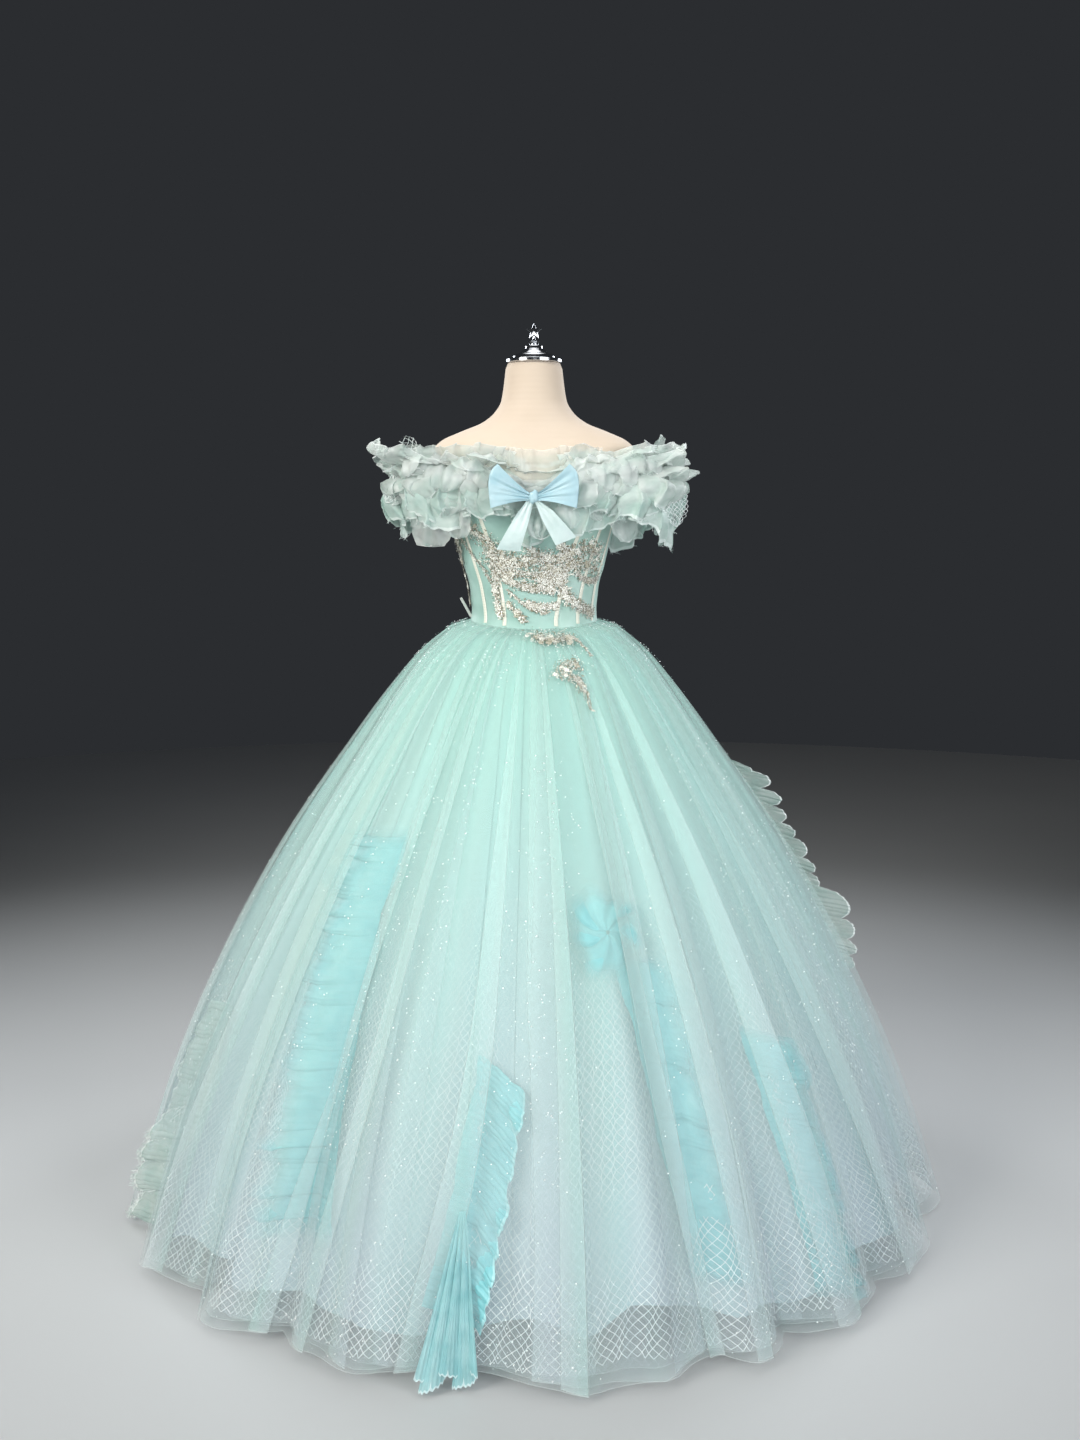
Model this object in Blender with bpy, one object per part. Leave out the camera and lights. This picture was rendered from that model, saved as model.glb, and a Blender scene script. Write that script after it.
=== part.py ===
"""Off-shoulder ball gown with a full layered skirt, standing on a limbless dress form.

Metres, +Z up. The origin is on the floor, in the middle of the stand's foot. The front faces -Y.
Angles are in degrees round the body: 0 at the front, 90 at +X, 180 at the back.
Left and right are as seen from the front: left is -X.
Cloth is a wall between two grids of points, whose rows run downward and whose columns run round.
"""

import math

import bpy
import numpy as np

# ---- driving sizes -------------------------------------------------------------------------

GAP = 0.0003                 # between neighbouring pieces
CLOTH = 0.0012               # wall of the skirt and of the frills
PANEL = 0.0015               # wall of the bodice and of the neckline band

# Distance of each layer's inner side from the form, outward.
BAND_CLEAR = 0.0008          # band over bodice, where the facets of both differ
LACE_CLEAR = 0.0010          # lace over the boning channels
FRILL_CLEAR = 0.0014         # gathered frills over the band
BODICE_OUT = 0.0014
CHANNEL_OUT = BODICE_OUT + PANEL + 2.0 * GAP
CHANNEL_WALL = 0.0010
CHANNEL_WIDTH = 0.0075
LACE_OUT = CHANNEL_OUT + CHANNEL_WALL + LACE_CLEAR
LACE_WALL = 0.0011
BAND_OUT = BODICE_OUT + PANEL + BAND_CLEAR
FRILL_OUT = BAND_OUT + PANEL + CLOTH / 2.0 + FRILL_CLEAR

# Dress form: height, half width, depth in front of the axis, depth behind it.
TORSO = (
    (0.800, 0.140, 0.090, 0.105),
    (0.870, 0.160, 0.102, 0.128),
    (0.980, 0.150, 0.098, 0.115),
    (1.060, 0.121, 0.088, 0.088),
    (1.105, 0.1135, 0.085, 0.080),
    (1.150, 0.1175, 0.087, 0.080),
    (1.200, 0.1300, 0.094, 0.086),
    (1.260, 0.1440, 0.107, 0.095),
    (1.300, 0.1510, 0.114, 0.100),
    (1.340, 0.1570, 0.107, 0.103),
    (1.380, 0.1700, 0.090, 0.104),
    (1.405, 0.1820, 0.078, 0.096),
    (1.418, 0.1700, 0.071, 0.087),
    (1.434, 0.1350, 0.065, 0.077),
    (1.450, 0.0960, 0.060, 0.069),
    (1.468, 0.0730, 0.056, 0.062),
    (1.490, 0.0600, 0.051, 0.055),
    (1.557, 0.0505, 0.047, 0.048),
)
TORSO_COLUMNS = 48
BUST_HEIGHT = 1.292
BUST_TALL = 0.042
BUST_ANGLE = 37.0
BUST_SPREAD = 23.0
BUST_RISE = 0.013

# Neck cap and stand, turned: radius, height.
NECK_TOP = 1.557
CAP_PROFILE = (
    (0.0, 0.0), (0.0515, 0.0), (0.0515, 0.007), (0.0405, 0.010), (0.0395, 0.015),
    (0.0280, 0.017), (0.0230, 0.023), (0.0165, 0.026), (0.0165, 0.031),
    (0.0085, 0.034), (0.0115, 0.039), (0.0030, 0.0415), (0.0026, 0.0480), (0.0, 0.0480),
)
STAND_PROFILE = (
    (0.0, 0.0), (0.170, 0.0), (0.170, 0.016), (0.155, 0.024),
    (0.022, 0.032), (0.0125, 0.050), (0.0125, 0.7997), (0.0, 0.7997),
)
TURNED_SIDES = 20
STAR_POINTS = 5
STAR_OUTER = 0.0148
STAR_INNER = 0.0068
STAR_SEAT = 0.0086            # its lower edge beside the pin, below its middle
STAR_DEPTH = 0.0060
STAR_CREST = 0.0080

# Waist seam, where the bodice ends and the skirt begins.
WAIST_SIDE = 1.094
WAIST_DIP = 0.014

# Upper edge of the bodice: angle from the front, height.
BODICE_TOP = (
    (0.0, 1.353), (30.0, 1.366), (55.0, 1.358), (78.0, 1.316),
    (100.0, 1.308), (130.0, 1.326), (180.0, 1.336),
)
BODICE_ROWS = (1.340, 1.300, 1.260, 1.200, 1.150, 1.105)
ROW_CLEAR = 0.0015
PANEL_STEP = 9.0             # widest step of a panel's columns, in degrees

# Bodice seams: name, angle at the waist, angle at the top. The front is turned a little to -X.
SEAMS = (
    ("side_left", -96.0, -98.0),
    ("front_left_outer", -49.0, -66.0),
    ("front_left_inner", -27.0, -42.0),
    ("front_right_inner", 20.0, 43.0),
    ("front_right_outer", 43.0, 61.0),
    ("side_right", 96.0, 98.0),
    ("back", 180.0, 180.0),
)
# Panels: name, seam on its -angle side, seam on its +angle side.
PANELS = (
    ("bodice_side_left", "side_left", "front_left_outer"),
    ("bodice_front_left", "front_left_outer", "front_left_inner"),
    ("bodice_front_centre", "front_left_inner", "front_right_inner"),
    ("bodice_front_right", "front_right_inner", "front_right_outer"),
    ("bodice_side_right", "front_right_outer", "side_right"),
    ("bodice_back_right", "side_right", "back"),
    ("bodice_back_left", "back", "side_left"),
)
# Boning channels: name, angle at the waist, angle at the top.
CHANNELS = (
    ("boning_left_outer", -49.0, -66.0),
    ("boning_left_inner", -27.0, -42.0),
    ("boning_right_inner", 20.0, 43.0),
    ("boning_right_outer", 43.0, 61.0),
    ("boning_right_side", 65.0, 79.0),
)

# Lace on the bodice: angle, lower edge, upper edge.
LACE_FRONT = (
    (-88.0, 1.138, 1.205), (-70.0, 1.128, 1.262), (-52.0, 1.112, 1.270), (-38.0, 1.096, 1.246),
    (-20.0, 1.112, 1.238), (0.0, 1.124, 1.234), (18.0, 1.106, 1.240), (34.0, 1.094, 1.246),
    (48.0, 1.118, 1.250), (62.0, 1.180, 1.240),
)
LACE_STEP = 7.5
LACE_ROWS = 5
# Lace tail on the skirt: row of the skirt, first angle, last angle.
LACE_TAIL = (
    (0.333, -13.0, 12.0), (1.0, -12.0, 14.0), (2.0, 1.0, 19.0), (3.0, 11.0, 21.0), (3.667, 19.0, 22.0),
)
LACE_TAIL_COLUMNS = 7
LACE_TAIL_STEP = 1.0 / 3.0
LACE_TAIL_LIFT = 0.0016

# Neckline band and sleeves.
BAND_ROWS = (1.397, 1.380, 1.340)
ARM_ROOM = 0.062             # how far the sleeve band stands off the form
ARM_SPAN = 45.0              # degrees either side of 90 over which it stands off
ARM_RISE = 0.6               # share of that span in which it moves away from the form
SLEEVE_START = 50.0
SLEEVE_END = 130.0

# Frill tiers: name, height of the seam, drop at front, side and back, flare at front, side and back.
TIERS = (
    ("low", 1.346, (0.086, 0.112, 0.092), (0.016, 0.043, 0.020)),
    ("middle", 1.359, (0.050, 0.046, 0.052), (0.027, 0.057, 0.030)),
    ("top", 1.372, (0.0, -0.034, 0.0), (0.030, 0.053, 0.030)),
)
FRILL_WAVE = (0.0050, 0.0115, 0.0070)   # height of a wave at front, side and back
# Stretches of the frills: name, first angle, last angle, waves.
STRETCHES = (
    ("front", -SLEEVE_START, SLEEVE_START, 7),
    ("sleeve_right", SLEEVE_START, SLEEVE_END, 5),
    ("back", SLEEVE_END, 360.0 - SLEEVE_END, 6),
    ("sleeve_left", -SLEEVE_END, -SLEEVE_START, 5),
)
WAVE_SAMPLES = 4
FRILL_ROWS = (0.0, 0.5, 1.0)
FRILL_FLARE_BEND = 0.85      # under 1, a frill flares early
FRILL_DROP_BEND = 1.2        # over 1, it falls late
FRILL_HIGHEST = 1.417

# Bow.
BOW_HEIGHT = 1.313
BOW_LIFT = 0.0008                       # from the middle of the frill's edge to the bow's back
KNOT = (0.015, 0.010, 0.020)            # width, depth, height
LOOP_REACH = 0.071
LOOP_SMALL = 0.014                      # height of the ribbon at the knot
LOOP_TALL = 0.070                       # and at the end of the loop
LOOP_FULL = 0.018                       # depth of the loop
LOOP_FORWARD = 0.22                     # how much it leads forward as it goes out
LOOP_STEPS = 12
LOOP_LEVELS = (0.5, 0.17, -0.17, -0.5)  # its rows, as shares of its height
LOOP_RISE = 0.008                       # how much its end is above the knot
LOOP_SPREAD = 0.006                     # and how much its edges part there
LOOP_ROUNDING = 0.016                   # how far its corners draw back
RIBBON = 0.0012
TAIL_START = 0.0066
TAIL_TURN = 3.0                         # how soon below the knot a tail lies square to its run
TAIL_SWAY = 0.003
# Tails: name, sideways and downward reach, width at the knot, width at the end.
TAILS = (("left", -0.045, 0.086, 0.012, 0.040), ("right", 0.056, 0.074, 0.012, 0.038))

# Skirt. Sections below the waist seam: height, radius, depth by width, share of the seam's dip,
# depth of the folds, room between overlay and net, room between net and lining, and how far
# that room is taken downward rather than inward.
SKIRT = (
    (1.080, 0.158, 0.86, 0.90, 0.003, 0.0030, 0.0020, 0.90),
    (1.040, 0.208, 0.88, 0.60, 0.006, 0.0100, 0.0040, 0.70),
    (0.970, 0.268, 0.93, 0.25, 0.010, 0.0190, 0.0060, 0.45),
    (0.860, 0.348, 0.98, 0.0, 0.018, 0.0280, 0.0080, 0.20),
    (0.700, 0.458, 1.0, 0.0, 0.026, 0.0340, 0.0100, 0.0),
    (0.480, 0.582, 1.0, 0.0, 0.034, 0.0360, 0.0100, 0.0),
    (0.240, 0.690, 1.0, 0.0, 0.042, 0.0360, 0.0100, 0.0),
    (0.000, 0.768, 1.0, 0.0, 0.048, 0.0360, 0.0100, 0.0),
)
# At the waist seam: how far a layer's inner side is below the seam and out from the form.
SEAM_DROPS = (0.0018, 0.0036, 0.0054)
SEAM_OUTS = (0.0030, 0.0022, 0.0014)
UNDER_ROWS = (0, 1, 3, 5, 7, 8)             # rows of the skirt that net and lining use
OVERLAY_HEM = 0.016
NET_HEM = 0.010
# Folds: the angles of the valleys, from the left side round by the front.
VALLEYS = (
    -92.0, -70.0, -48.6, -33.0, -8.0, 23.0, 33.0, 52.0, 72.0, 90.0,
    112.0, 131.0, 150.0, 166.0, 187.0, 208.0, 226.0, 246.0,
)
FOLD_SHAPE = (-1.0, -0.28, 0.0, -0.24)       # inward along one fold, by quarters
FULL_FOLD = 20.0                            # degrees of a fold of full depth
GORES = 6

# Ruffle strips between overlay and net: name, upper and lower height, angle at each,
# width, waves, side of the free edge, and how far the stitched edge lies inward of the
# middle of the room, which seats it on the net.
STRIPS = (
    ("a", 0.400, 0.040, -80.0, -69.0, 0.110, 8, -1, 0.0152),
    ("b", 0.760, 0.150, -43.0, -34.0, 0.098, 9, -1, 0.0117),
    ("c", 0.430, 0.022, -5.0, -9.0, 0.080, 7, 1, 0.0213),
    ("d", 0.680, 0.120, 16.0, 25.0, 0.100, 8, 1, 0.0165),
    ("e", 0.460, 0.050, 41.5, 43.5, 0.100, 7, 1, 0.0101),
    ("g", 0.700, 0.120, 141.0, 143.0, 0.086, 8, 1, 0.0105),
    ("h", 0.680, 0.140, 217.0, 220.0, 0.100, 8, -1, 0.0201),
)
STRIP_WAVE = 0.0090
STRIP_STITCHED = 0.0025
STRIP_BIAS = 0.0010                         # how far the free edge lies outward of that middle
# The strip that stands out at the right side.
SIDE_STRIP_HEIGHTS = (0.812, 0.404)
SIDE_STRIP_ANGLES = (99.0, 95.0)
SIDE_STRIP_REACH = 0.070
SIDE_STRIP_SWEEP = 0.009
SIDE_STRIP_FALL = 0.012                     # how far its free edge hangs, and leans back
SIDE_STRIP_DIP = 0.62                       # reach between two lobes, as a share
SIDE_STRIP_WAVES = 9
SIDE_STRIP_LIFT = 0.0016

# Ribbon loop at the left waist.
WAIST_LOOP_ANGLE = -84.0
WAIST_LOOP_HEIGHT = 1.096
WAIST_LOOP_LENGTH = 0.040
WAIST_LOOP_LEAN = 0.55
WAIST_LOOP_HALF = 0.0033
WAIST_LOOP_STRAND = 0.0018
WAIST_LOOP_WALL = 0.001


# ---- materials -----------------------------------------------------------------------------

def finish(name, colour, roughness, metallic=0.0):
    """Make a plain Principled material from linear red, green and blue."""
    material = bpy.data.materials.new(name)
    material.use_nodes = True
    shader = material.node_tree.nodes["Principled BSDF"]
    shader.inputs["Base Color"].default_value = (*colour, 1.0)
    shader.inputs["Roughness"].default_value = roughness
    shader.inputs["Metallic"].default_value = metallic
    material.diffuse_color = (*colour, 1.0)
    return material


def make_finishes():
    """Return the materials of the gown and the form, by name."""
    return {
        "jersey": finish("cream_jersey", (0.87, 0.80, 0.70), 0.85),
        "chrome": finish("polished_metal", (0.78, 0.78, 0.80), 0.15, 1.0),
        "steel": finish("painted_steel", (0.05, 0.05, 0.05), 0.45, 0.6),
        "bodice": finish("mint_satin", (0.42, 0.65, 0.58), 0.45),
        "channel": finish("cream_satin_tape", (0.75, 0.81, 0.74), 0.40),
        "lace": finish("beige_sequin_lace", (0.48, 0.42, 0.34), 0.50),
        "band": finish("mint_organza_band", (0.58, 0.80, 0.76), 0.55),
        "frill": finish("mint_organza_frill", (0.55, 0.80, 0.76), 0.55),
        "bow": finish("pale_blue_satin", (0.50, 0.74, 0.84), 0.35),
        "overlay": finish("mint_glitter_tulle", (0.50, 0.76, 0.70), 0.60),
        "net": finish("white_diamond_net", (0.66, 0.74, 0.80), 0.60),
        "lining": finish("lilac_white_tulle", (0.56, 0.64, 0.72), 0.65),
        "ruffle": finish("aqua_organza_ruffle", (0.40, 0.72, 0.70), 0.50),
        "ribbon": finish("clear_ribbon", (0.70, 0.72, 0.66), 0.40),
    }


# ---- walls of cloth ------------------------------------------------------------------------

def add_object(name, points, faces, material):
    """Add one mesh object with smooth shading and its own material."""
    mesh = bpy.data.meshes.new(name)
    mesh.from_pydata([tuple(point) for point in points], [], faces)
    mesh.validate()
    mesh.shade_smooth()
    mesh.materials.append(material)
    item = bpy.data.objects.new(name, mesh)
    bpy.context.collection.objects.link(item)
    return item


def grid_normals(grid, closed=False):
    """Return outward unit normals of a grid whose rows run down and columns run round."""
    down = np.gradient(grid, axis=0)
    if closed:
        round_ = (np.roll(grid, -1, axis=1) - np.roll(grid, 1, axis=1)) / 2.0
    else:
        round_ = np.gradient(grid, axis=1)
    normal = np.cross(down, round_)
    return normal / np.linalg.norm(normal, axis=2, keepdims=True)


def trim_ends(grid):
    """Draw in the first and last column by half a gap, so that neighbours stay apart."""
    trimmed = grid.copy()
    for end, beside in ((0, 1), (-1, -2)):
        step = grid[:, beside] - grid[:, end]
        length = np.linalg.norm(step, axis=1, keepdims=True)
        trimmed[:, end] = grid[:, end] + step * (GAP / 2.0) / length
    return trimmed


def add_wall(name, inner, outer, material, closed=False):
    """Join an inner and an outer grid into one closed body, in triangles."""
    rows, columns = inner.shape[:2]
    count = rows * columns
    steps = columns if closed else columns - 1

    def out(row, column):
        return row * columns + column % columns

    def inn(row, column):
        return count + row * columns + column % columns

    faces = []
    for row in range(rows - 1):
        for column in range(steps):
            near, far = column, column + 1
            faces.append((out(row, near), out(row + 1, near), out(row + 1, far)))
            faces.append((out(row, near), out(row + 1, far), out(row, far)))
            faces.append((inn(row, near), inn(row + 1, far), inn(row + 1, near)))
            faces.append((inn(row, near), inn(row, far), inn(row + 1, far)))
    for column in range(steps):
        near, far = column, column + 1
        last = rows - 1
        faces.append((out(0, near), out(0, far), inn(0, far)))
        faces.append((out(0, near), inn(0, far), inn(0, near)))
        faces.append((out(last, near), inn(last, far), out(last, far)))
        faces.append((out(last, near), inn(last, near), inn(last, far)))
    if not closed:
        last = columns - 1
        for row in range(rows - 1):
            faces.append((out(row, 0), inn(row, 0), inn(row + 1, 0)))
            faces.append((out(row, 0), inn(row + 1, 0), out(row + 1, 0)))
            faces.append((out(row, last), inn(row + 1, last), inn(row, last)))
            faces.append((out(row, last), out(row + 1, last), inn(row + 1, last)))
    points = np.concatenate([outer.reshape(-1, 3), inner.reshape(-1, 3)])
    return add_object(name, points, faces, material)


def add_shell(name, surface, thickness, material, closed=False):
    """Add a wall that stands outward from a surface."""
    outer = surface + grid_normals(surface, closed) * thickness
    return add_wall(name, surface, outer, material, closed)


def add_turned(name, profile, base, material):
    """Turn a profile of radius and height, from its lower to its upper end, about the axis."""
    turns = [2.0 * math.pi * side / TURNED_SIDES for side in range(TURNED_SIDES)]
    points = []
    rings = []
    for radius, height in profile[1:-1]:
        rings.append(len(points))
        points += [(radius * math.cos(turn), radius * math.sin(turn), base + height) for turn in turns]
    faces = [tuple(reversed(range(TURNED_SIDES)))]
    for lower, upper in zip(rings, rings[1:]):
        for side in range(TURNED_SIDES):
            beside = (side + 1) % TURNED_SIDES
            faces.append((lower + side, lower + beside, upper + beside, upper + side))
    faces.append(tuple(range(rings[-1], rings[-1] + TURNED_SIDES)))
    item = add_object(name, points, faces, material)
    item.data.set_sharp_from_angle(angle=math.radians(35.0))
    return item


# ---- the form's surface --------------------------------------------------------------------

def folded_angle(angle):
    """Bring an angle into -180 to 180 degrees."""
    return (np.asarray(angle) + 180.0) % 360.0 - 180.0


def torso_point(angle, height, out=0.0):
    """Return points at an angle and a height, level with the form or outward of it."""
    angle, height, out = np.broadcast_arrays(angle, height, out)
    heights, widths, fronts, backs = (np.array(values) for values in zip(*TORSO))
    turn = np.radians(angle)
    width = np.interp(height, heights, widths)
    depth = np.where(np.cos(turn) > 0.0, np.interp(height, heights, fronts),
                     np.interp(height, heights, backs))
    across, along = depth * np.sin(turn), -width * np.cos(turn)
    size = np.hypot(across, along)
    side = (np.abs(folded_angle(angle)) - BUST_ANGLE) / BUST_SPREAD
    swell = BUST_RISE * np.exp(-((heights - BUST_HEIGHT) / BUST_TALL) ** 2)
    reach = out + np.exp(-side ** 2) * np.interp(height, heights, swell)
    return np.stack([width * np.sin(turn) + across / size * reach,
                     -depth * np.cos(turn) + along / size * reach, height], axis=-1)


def waist_height(angle):
    """Return the height of the waist seam, which dips at the front."""
    return WAIST_SIDE - WAIST_DIP * ((1.0 + np.cos(np.radians(angle))) / 2.0) ** 3


def bodice_top(angle):
    """Return the height of the bodice's upper edge."""
    angles, heights = zip(*BODICE_TOP)
    return np.interp(np.abs(folded_angle(angle)), angles, heights)


def three_way(angle, values):
    """Blend a front, a side and a back value round the body."""
    front, side, back = values
    turn = np.radians(angle)
    end = np.where(np.cos(turn) > 0.0, front, back)
    return end + (side - end) * np.sin(turn) ** 2


def arm_room(angle):
    """Return how far the sleeve stands off the form at an angle."""
    away = np.abs(np.abs(folded_angle(angle)) - 90.0) / ARM_SPAN
    rise = np.clip((1.0 - away) / ARM_RISE, 0.0, 1.0)
    return ARM_ROOM * rise ** 2 * (3.0 - 2.0 * rise)


# ---- dress form ----------------------------------------------------------------------------

def add_torso(material):
    """Add the torso and neck: rings from the neck down, with flat ends."""
    angles = np.linspace(0.0, 360.0, TORSO_COLUMNS, endpoint=False)
    heights = np.array([row[0] for row in reversed(TORSO)])
    grid = torso_point(angles[None, :], heights[:, None])
    rows, columns = grid.shape[:2]
    faces = []
    for row in range(rows - 1):
        for near in range(columns):
            far = (near + 1) % columns
            upper, lower = row * columns, (row + 1) * columns
            faces.append((upper + near, lower + near, lower + far))
            faces.append((upper + near, lower + far, upper + far))
    faces.append(tuple(range(columns)))
    faces.append(tuple(reversed(range((rows - 1) * columns, rows * columns))))
    item = add_object("form_torso", grid.reshape(-1, 3), faces, material)
    item.data.set_sharp_from_angle(angle=math.radians(50.0))


def add_finial(material):
    """Add the star on the neck cap: a thick star with a raised middle on both sides."""
    tip = CAP_PROFILE[-1][1]
    centre = NECK_TOP + GAP + tip + GAP + STAR_SEAT
    points = []
    for side in (-1.0, 1.0):
        for corner in range(2 * STAR_POINTS):
            reach = STAR_OUTER if corner % 2 == 0 else STAR_INNER
            turn = math.pi / 2.0 + math.pi * corner / STAR_POINTS
            points.append((reach * math.cos(turn), side * STAR_DEPTH / 2.0, centre + reach * math.sin(turn)))
    corners = 2 * STAR_POINTS
    front, back = len(points), len(points) + 1
    points += [(0.0, -STAR_CREST / 2.0, centre), (0.0, STAR_CREST / 2.0, centre)]
    faces = []
    for corner in range(corners):
        beside = (corner + 1) % corners
        faces.append((front, beside, corner))
        faces.append((back, corners + corner, corners + beside))
        faces.append((corner, beside, corners + beside, corners + corner))
    mesh_faces = [tuple(reversed(face)) for face in faces]
    item = add_object("form_finial", points, mesh_faces, material)
    item.data.set_sharp_from_angle(angle=math.radians(30.0))


def add_form(finishes):
    """Add the dress form: torso, neck cap, finial and stand."""
    add_torso(finishes["jersey"])
    add_turned("form_neck_cap", CAP_PROFILE, NECK_TOP + GAP, finishes["chrome"])
    add_finial(finishes["chrome"])
    add_turned("form_stand", STAND_PROFILE, 0.0, finishes["steel"])


# ---- bodice --------------------------------------------------------------------------------

def bodice_heights(angle):
    """Return the heights of the bodice's rows at an angle, from its top to the waist seam."""
    top, waist = bodice_top(angle), waist_height(angle)
    heights = [top]
    for step, height in enumerate(BODICE_ROWS):
        below_top = top - ROW_CLEAR * (step + 1)
        heights.append(np.maximum(np.minimum(height, below_top), waist + ROW_CLEAR))
    heights.append(waist)
    return np.stack(heights)


def heights_on(angles):
    """Return the heights of the bodice's rows where each row has its own angles."""
    rows = len(BODICE_ROWS) + 2
    angles = np.broadcast_to(angles, (rows, angles.shape[-1]))
    return np.array([bodice_heights(angles[row])[row] for row in range(rows)])


def leaning_angle(waist_angle, top_angle, height):
    """Return the angle of a seam that leans as it rises."""
    share = np.clip((height - WAIST_SIDE) / (BODICE_TOP[1][1] - WAIST_SIDE), 0.0, 1.0)
    return waist_angle + (top_angle - waist_angle) * share


def add_panel(name, first, last, material):
    """Add a bodice panel between two leaning seams."""
    span = (last[0] - first[0]) % 360.0
    top_span = (last[1] - first[1]) % 360.0
    columns = max(3, int(math.ceil(max(span, top_span) / PANEL_STEP)) + 1)
    shares = np.linspace(0.0, 1.0, columns)[None, :]
    angles = first[0] + span * shares
    for _ in range(3):
        heights = heights_on(angles)
        left = leaning_angle(first[0], first[1], heights)
        right = leaning_angle(first[0] + span, first[1] + top_span, heights)
        angles = left + (right - left) * shares
    inner = trim_ends(torso_point(angles, heights, BODICE_OUT))
    outer = trim_ends(torso_point(angles, heights, BODICE_OUT + PANEL))
    add_wall(name, inner, outer, material)


def add_channel(name, waist_angle, top_angle, material):
    """Add a boning channel: a narrow tape over a seam, from the waist to the band."""
    middle = np.full((len(BODICE_ROWS) + 2, 1), waist_angle)
    for _ in range(3):
        heights = heights_on(middle)
        middle = leaning_angle(waist_angle, top_angle, heights)
    heights = np.minimum(heights[1:, 0], BAND_ROWS[-1] - GAP)
    heights[-1] += ROW_CLEAR
    middle = leaning_angle(waist_angle, top_angle, heights)
    speed = np.linalg.norm(torso_point(middle + 0.5, heights) - torso_point(middle - 0.5, heights), axis=1)
    half = CHANNEL_WIDTH / 2.0 / speed
    angles = np.stack([middle - half, middle + half], axis=1)
    inner = torso_point(angles, heights[:, None], CHANNEL_OUT)
    outer = torso_point(angles, heights[:, None], CHANNEL_OUT + CHANNEL_WALL)
    add_wall(name, inner, outer, material)


def add_lace_front(material):
    """Add the lace that lies over the bodice's front, with an uneven outline."""
    table_angles, lows, highs = zip(*LACE_FRONT)
    count = int(round((table_angles[-1] - table_angles[0]) / LACE_STEP)) + 1
    angles = np.linspace(table_angles[0], table_angles[-1], count)
    low = np.interp(angles, table_angles, lows)
    high = np.interp(angles, table_angles, highs)
    share = np.linspace(0.0, 1.0, LACE_ROWS)[:, None]
    heights = high + (low - high) * share
    inner = torso_point(angles[None, :], heights, LACE_OUT)
    outer = torso_point(angles[None, :], heights, LACE_OUT + LACE_WALL)
    add_wall("lace_front", inner, outer, material)


def add_bodice(finishes):
    """Add the panels, the boning channels and the lace of the bodice."""
    seams = {name: (waist, top) for name, waist, top in SEAMS}
    for name, first, last in PANELS:
        add_panel(name, seams[first], seams[last], finishes["bodice"])
    for name, waist_angle, top_angle in CHANNELS:
        add_channel(name, waist_angle, top_angle, finishes["channel"])
    add_lace_front(finishes["lace"])


# ---- neckline band and frills --------------------------------------------------------------

def stretch_columns(samples):
    """Return the angles and waves all round the neckline, and each stretch's first and last column."""
    angles, waves, spans = [], [], []
    for name, first, last, count in STRETCHES:
        steps = count * samples
        spans.append((name, len(angles), len(angles) + steps))
        for step in range(steps):
            angles.append(first + (last - first) * step / steps)
            waves.append(-math.cos(2.0 * math.pi * step / samples))
    return np.array(angles), np.array(waves), spans


def add_stretch(name, inner, outer, span, material):
    """Add one stretch of a ring of cloth that goes all round the neckline."""
    pick = [column % inner.shape[1] for column in range(span[0], span[1] + 1)]
    add_wall(name, trim_ends(inner[:, pick]), trim_ends(outer[:, pick]), material)


def add_bands(material):
    """Add the band round the neckline, which stands off the form at the sleeves."""
    angles, _, spans = stretch_columns(WAVE_SAMPLES)
    heights = np.array(BAND_ROWS)[:, None]
    inner = torso_point(angles[None, :], heights, BAND_OUT + arm_room(angles))
    outer = torso_point(angles[None, :], heights, BAND_OUT + PANEL + arm_room(angles))
    for name, first, last in spans:
        add_stretch("band_" + name, inner, outer, (first, last), material)


def frill_point(angle, share, tier, wave):
    """Return a frill's surface: share 0 is the seam on the band, 1 the free edge."""
    _, seam_height, drops, flares = tier
    drop, flare = three_way(angle, drops), three_way(angle, flares)
    swing = three_way(angle, FRILL_WAVE) * wave * share
    steep = np.abs(drop) / (np.abs(drop) + flare)
    out = FRILL_OUT + arm_room(angle) + flare * share ** FRILL_FLARE_BEND + swing * steep
    height = seam_height - drop * share ** FRILL_DROP_BEND + swing * (1.0 - steep)
    return torso_point(angle, np.minimum(height, FRILL_HIGHEST), out)


def add_frills(material):
    """Add the gathered tiers; the top one is on the sleeves only."""
    angles, waves, spans = stretch_columns(WAVE_SAMPLES)
    share = np.array(FRILL_ROWS)[:, None]
    for tier in TIERS:
        surface = frill_point(angles[None, :], share, tier, waves[None, :])
        half = grid_normals(surface, closed=True) * CLOTH / 2.0
        for name, first, last in spans:
            if tier[0] != "top" or name.startswith("sleeve"):
                title = f"frill_{tier[0]}_{name}"
                add_stretch(title, surface - half, surface + half, (first, last), material)


# ---- bow -----------------------------------------------------------------------------------

def bow_back():
    """Return the y of the bow's back, on the middle frill's front."""
    return frill_point(0.0, 1.0, TIERS[1], 1.0)[1] - BOW_LIFT


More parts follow.
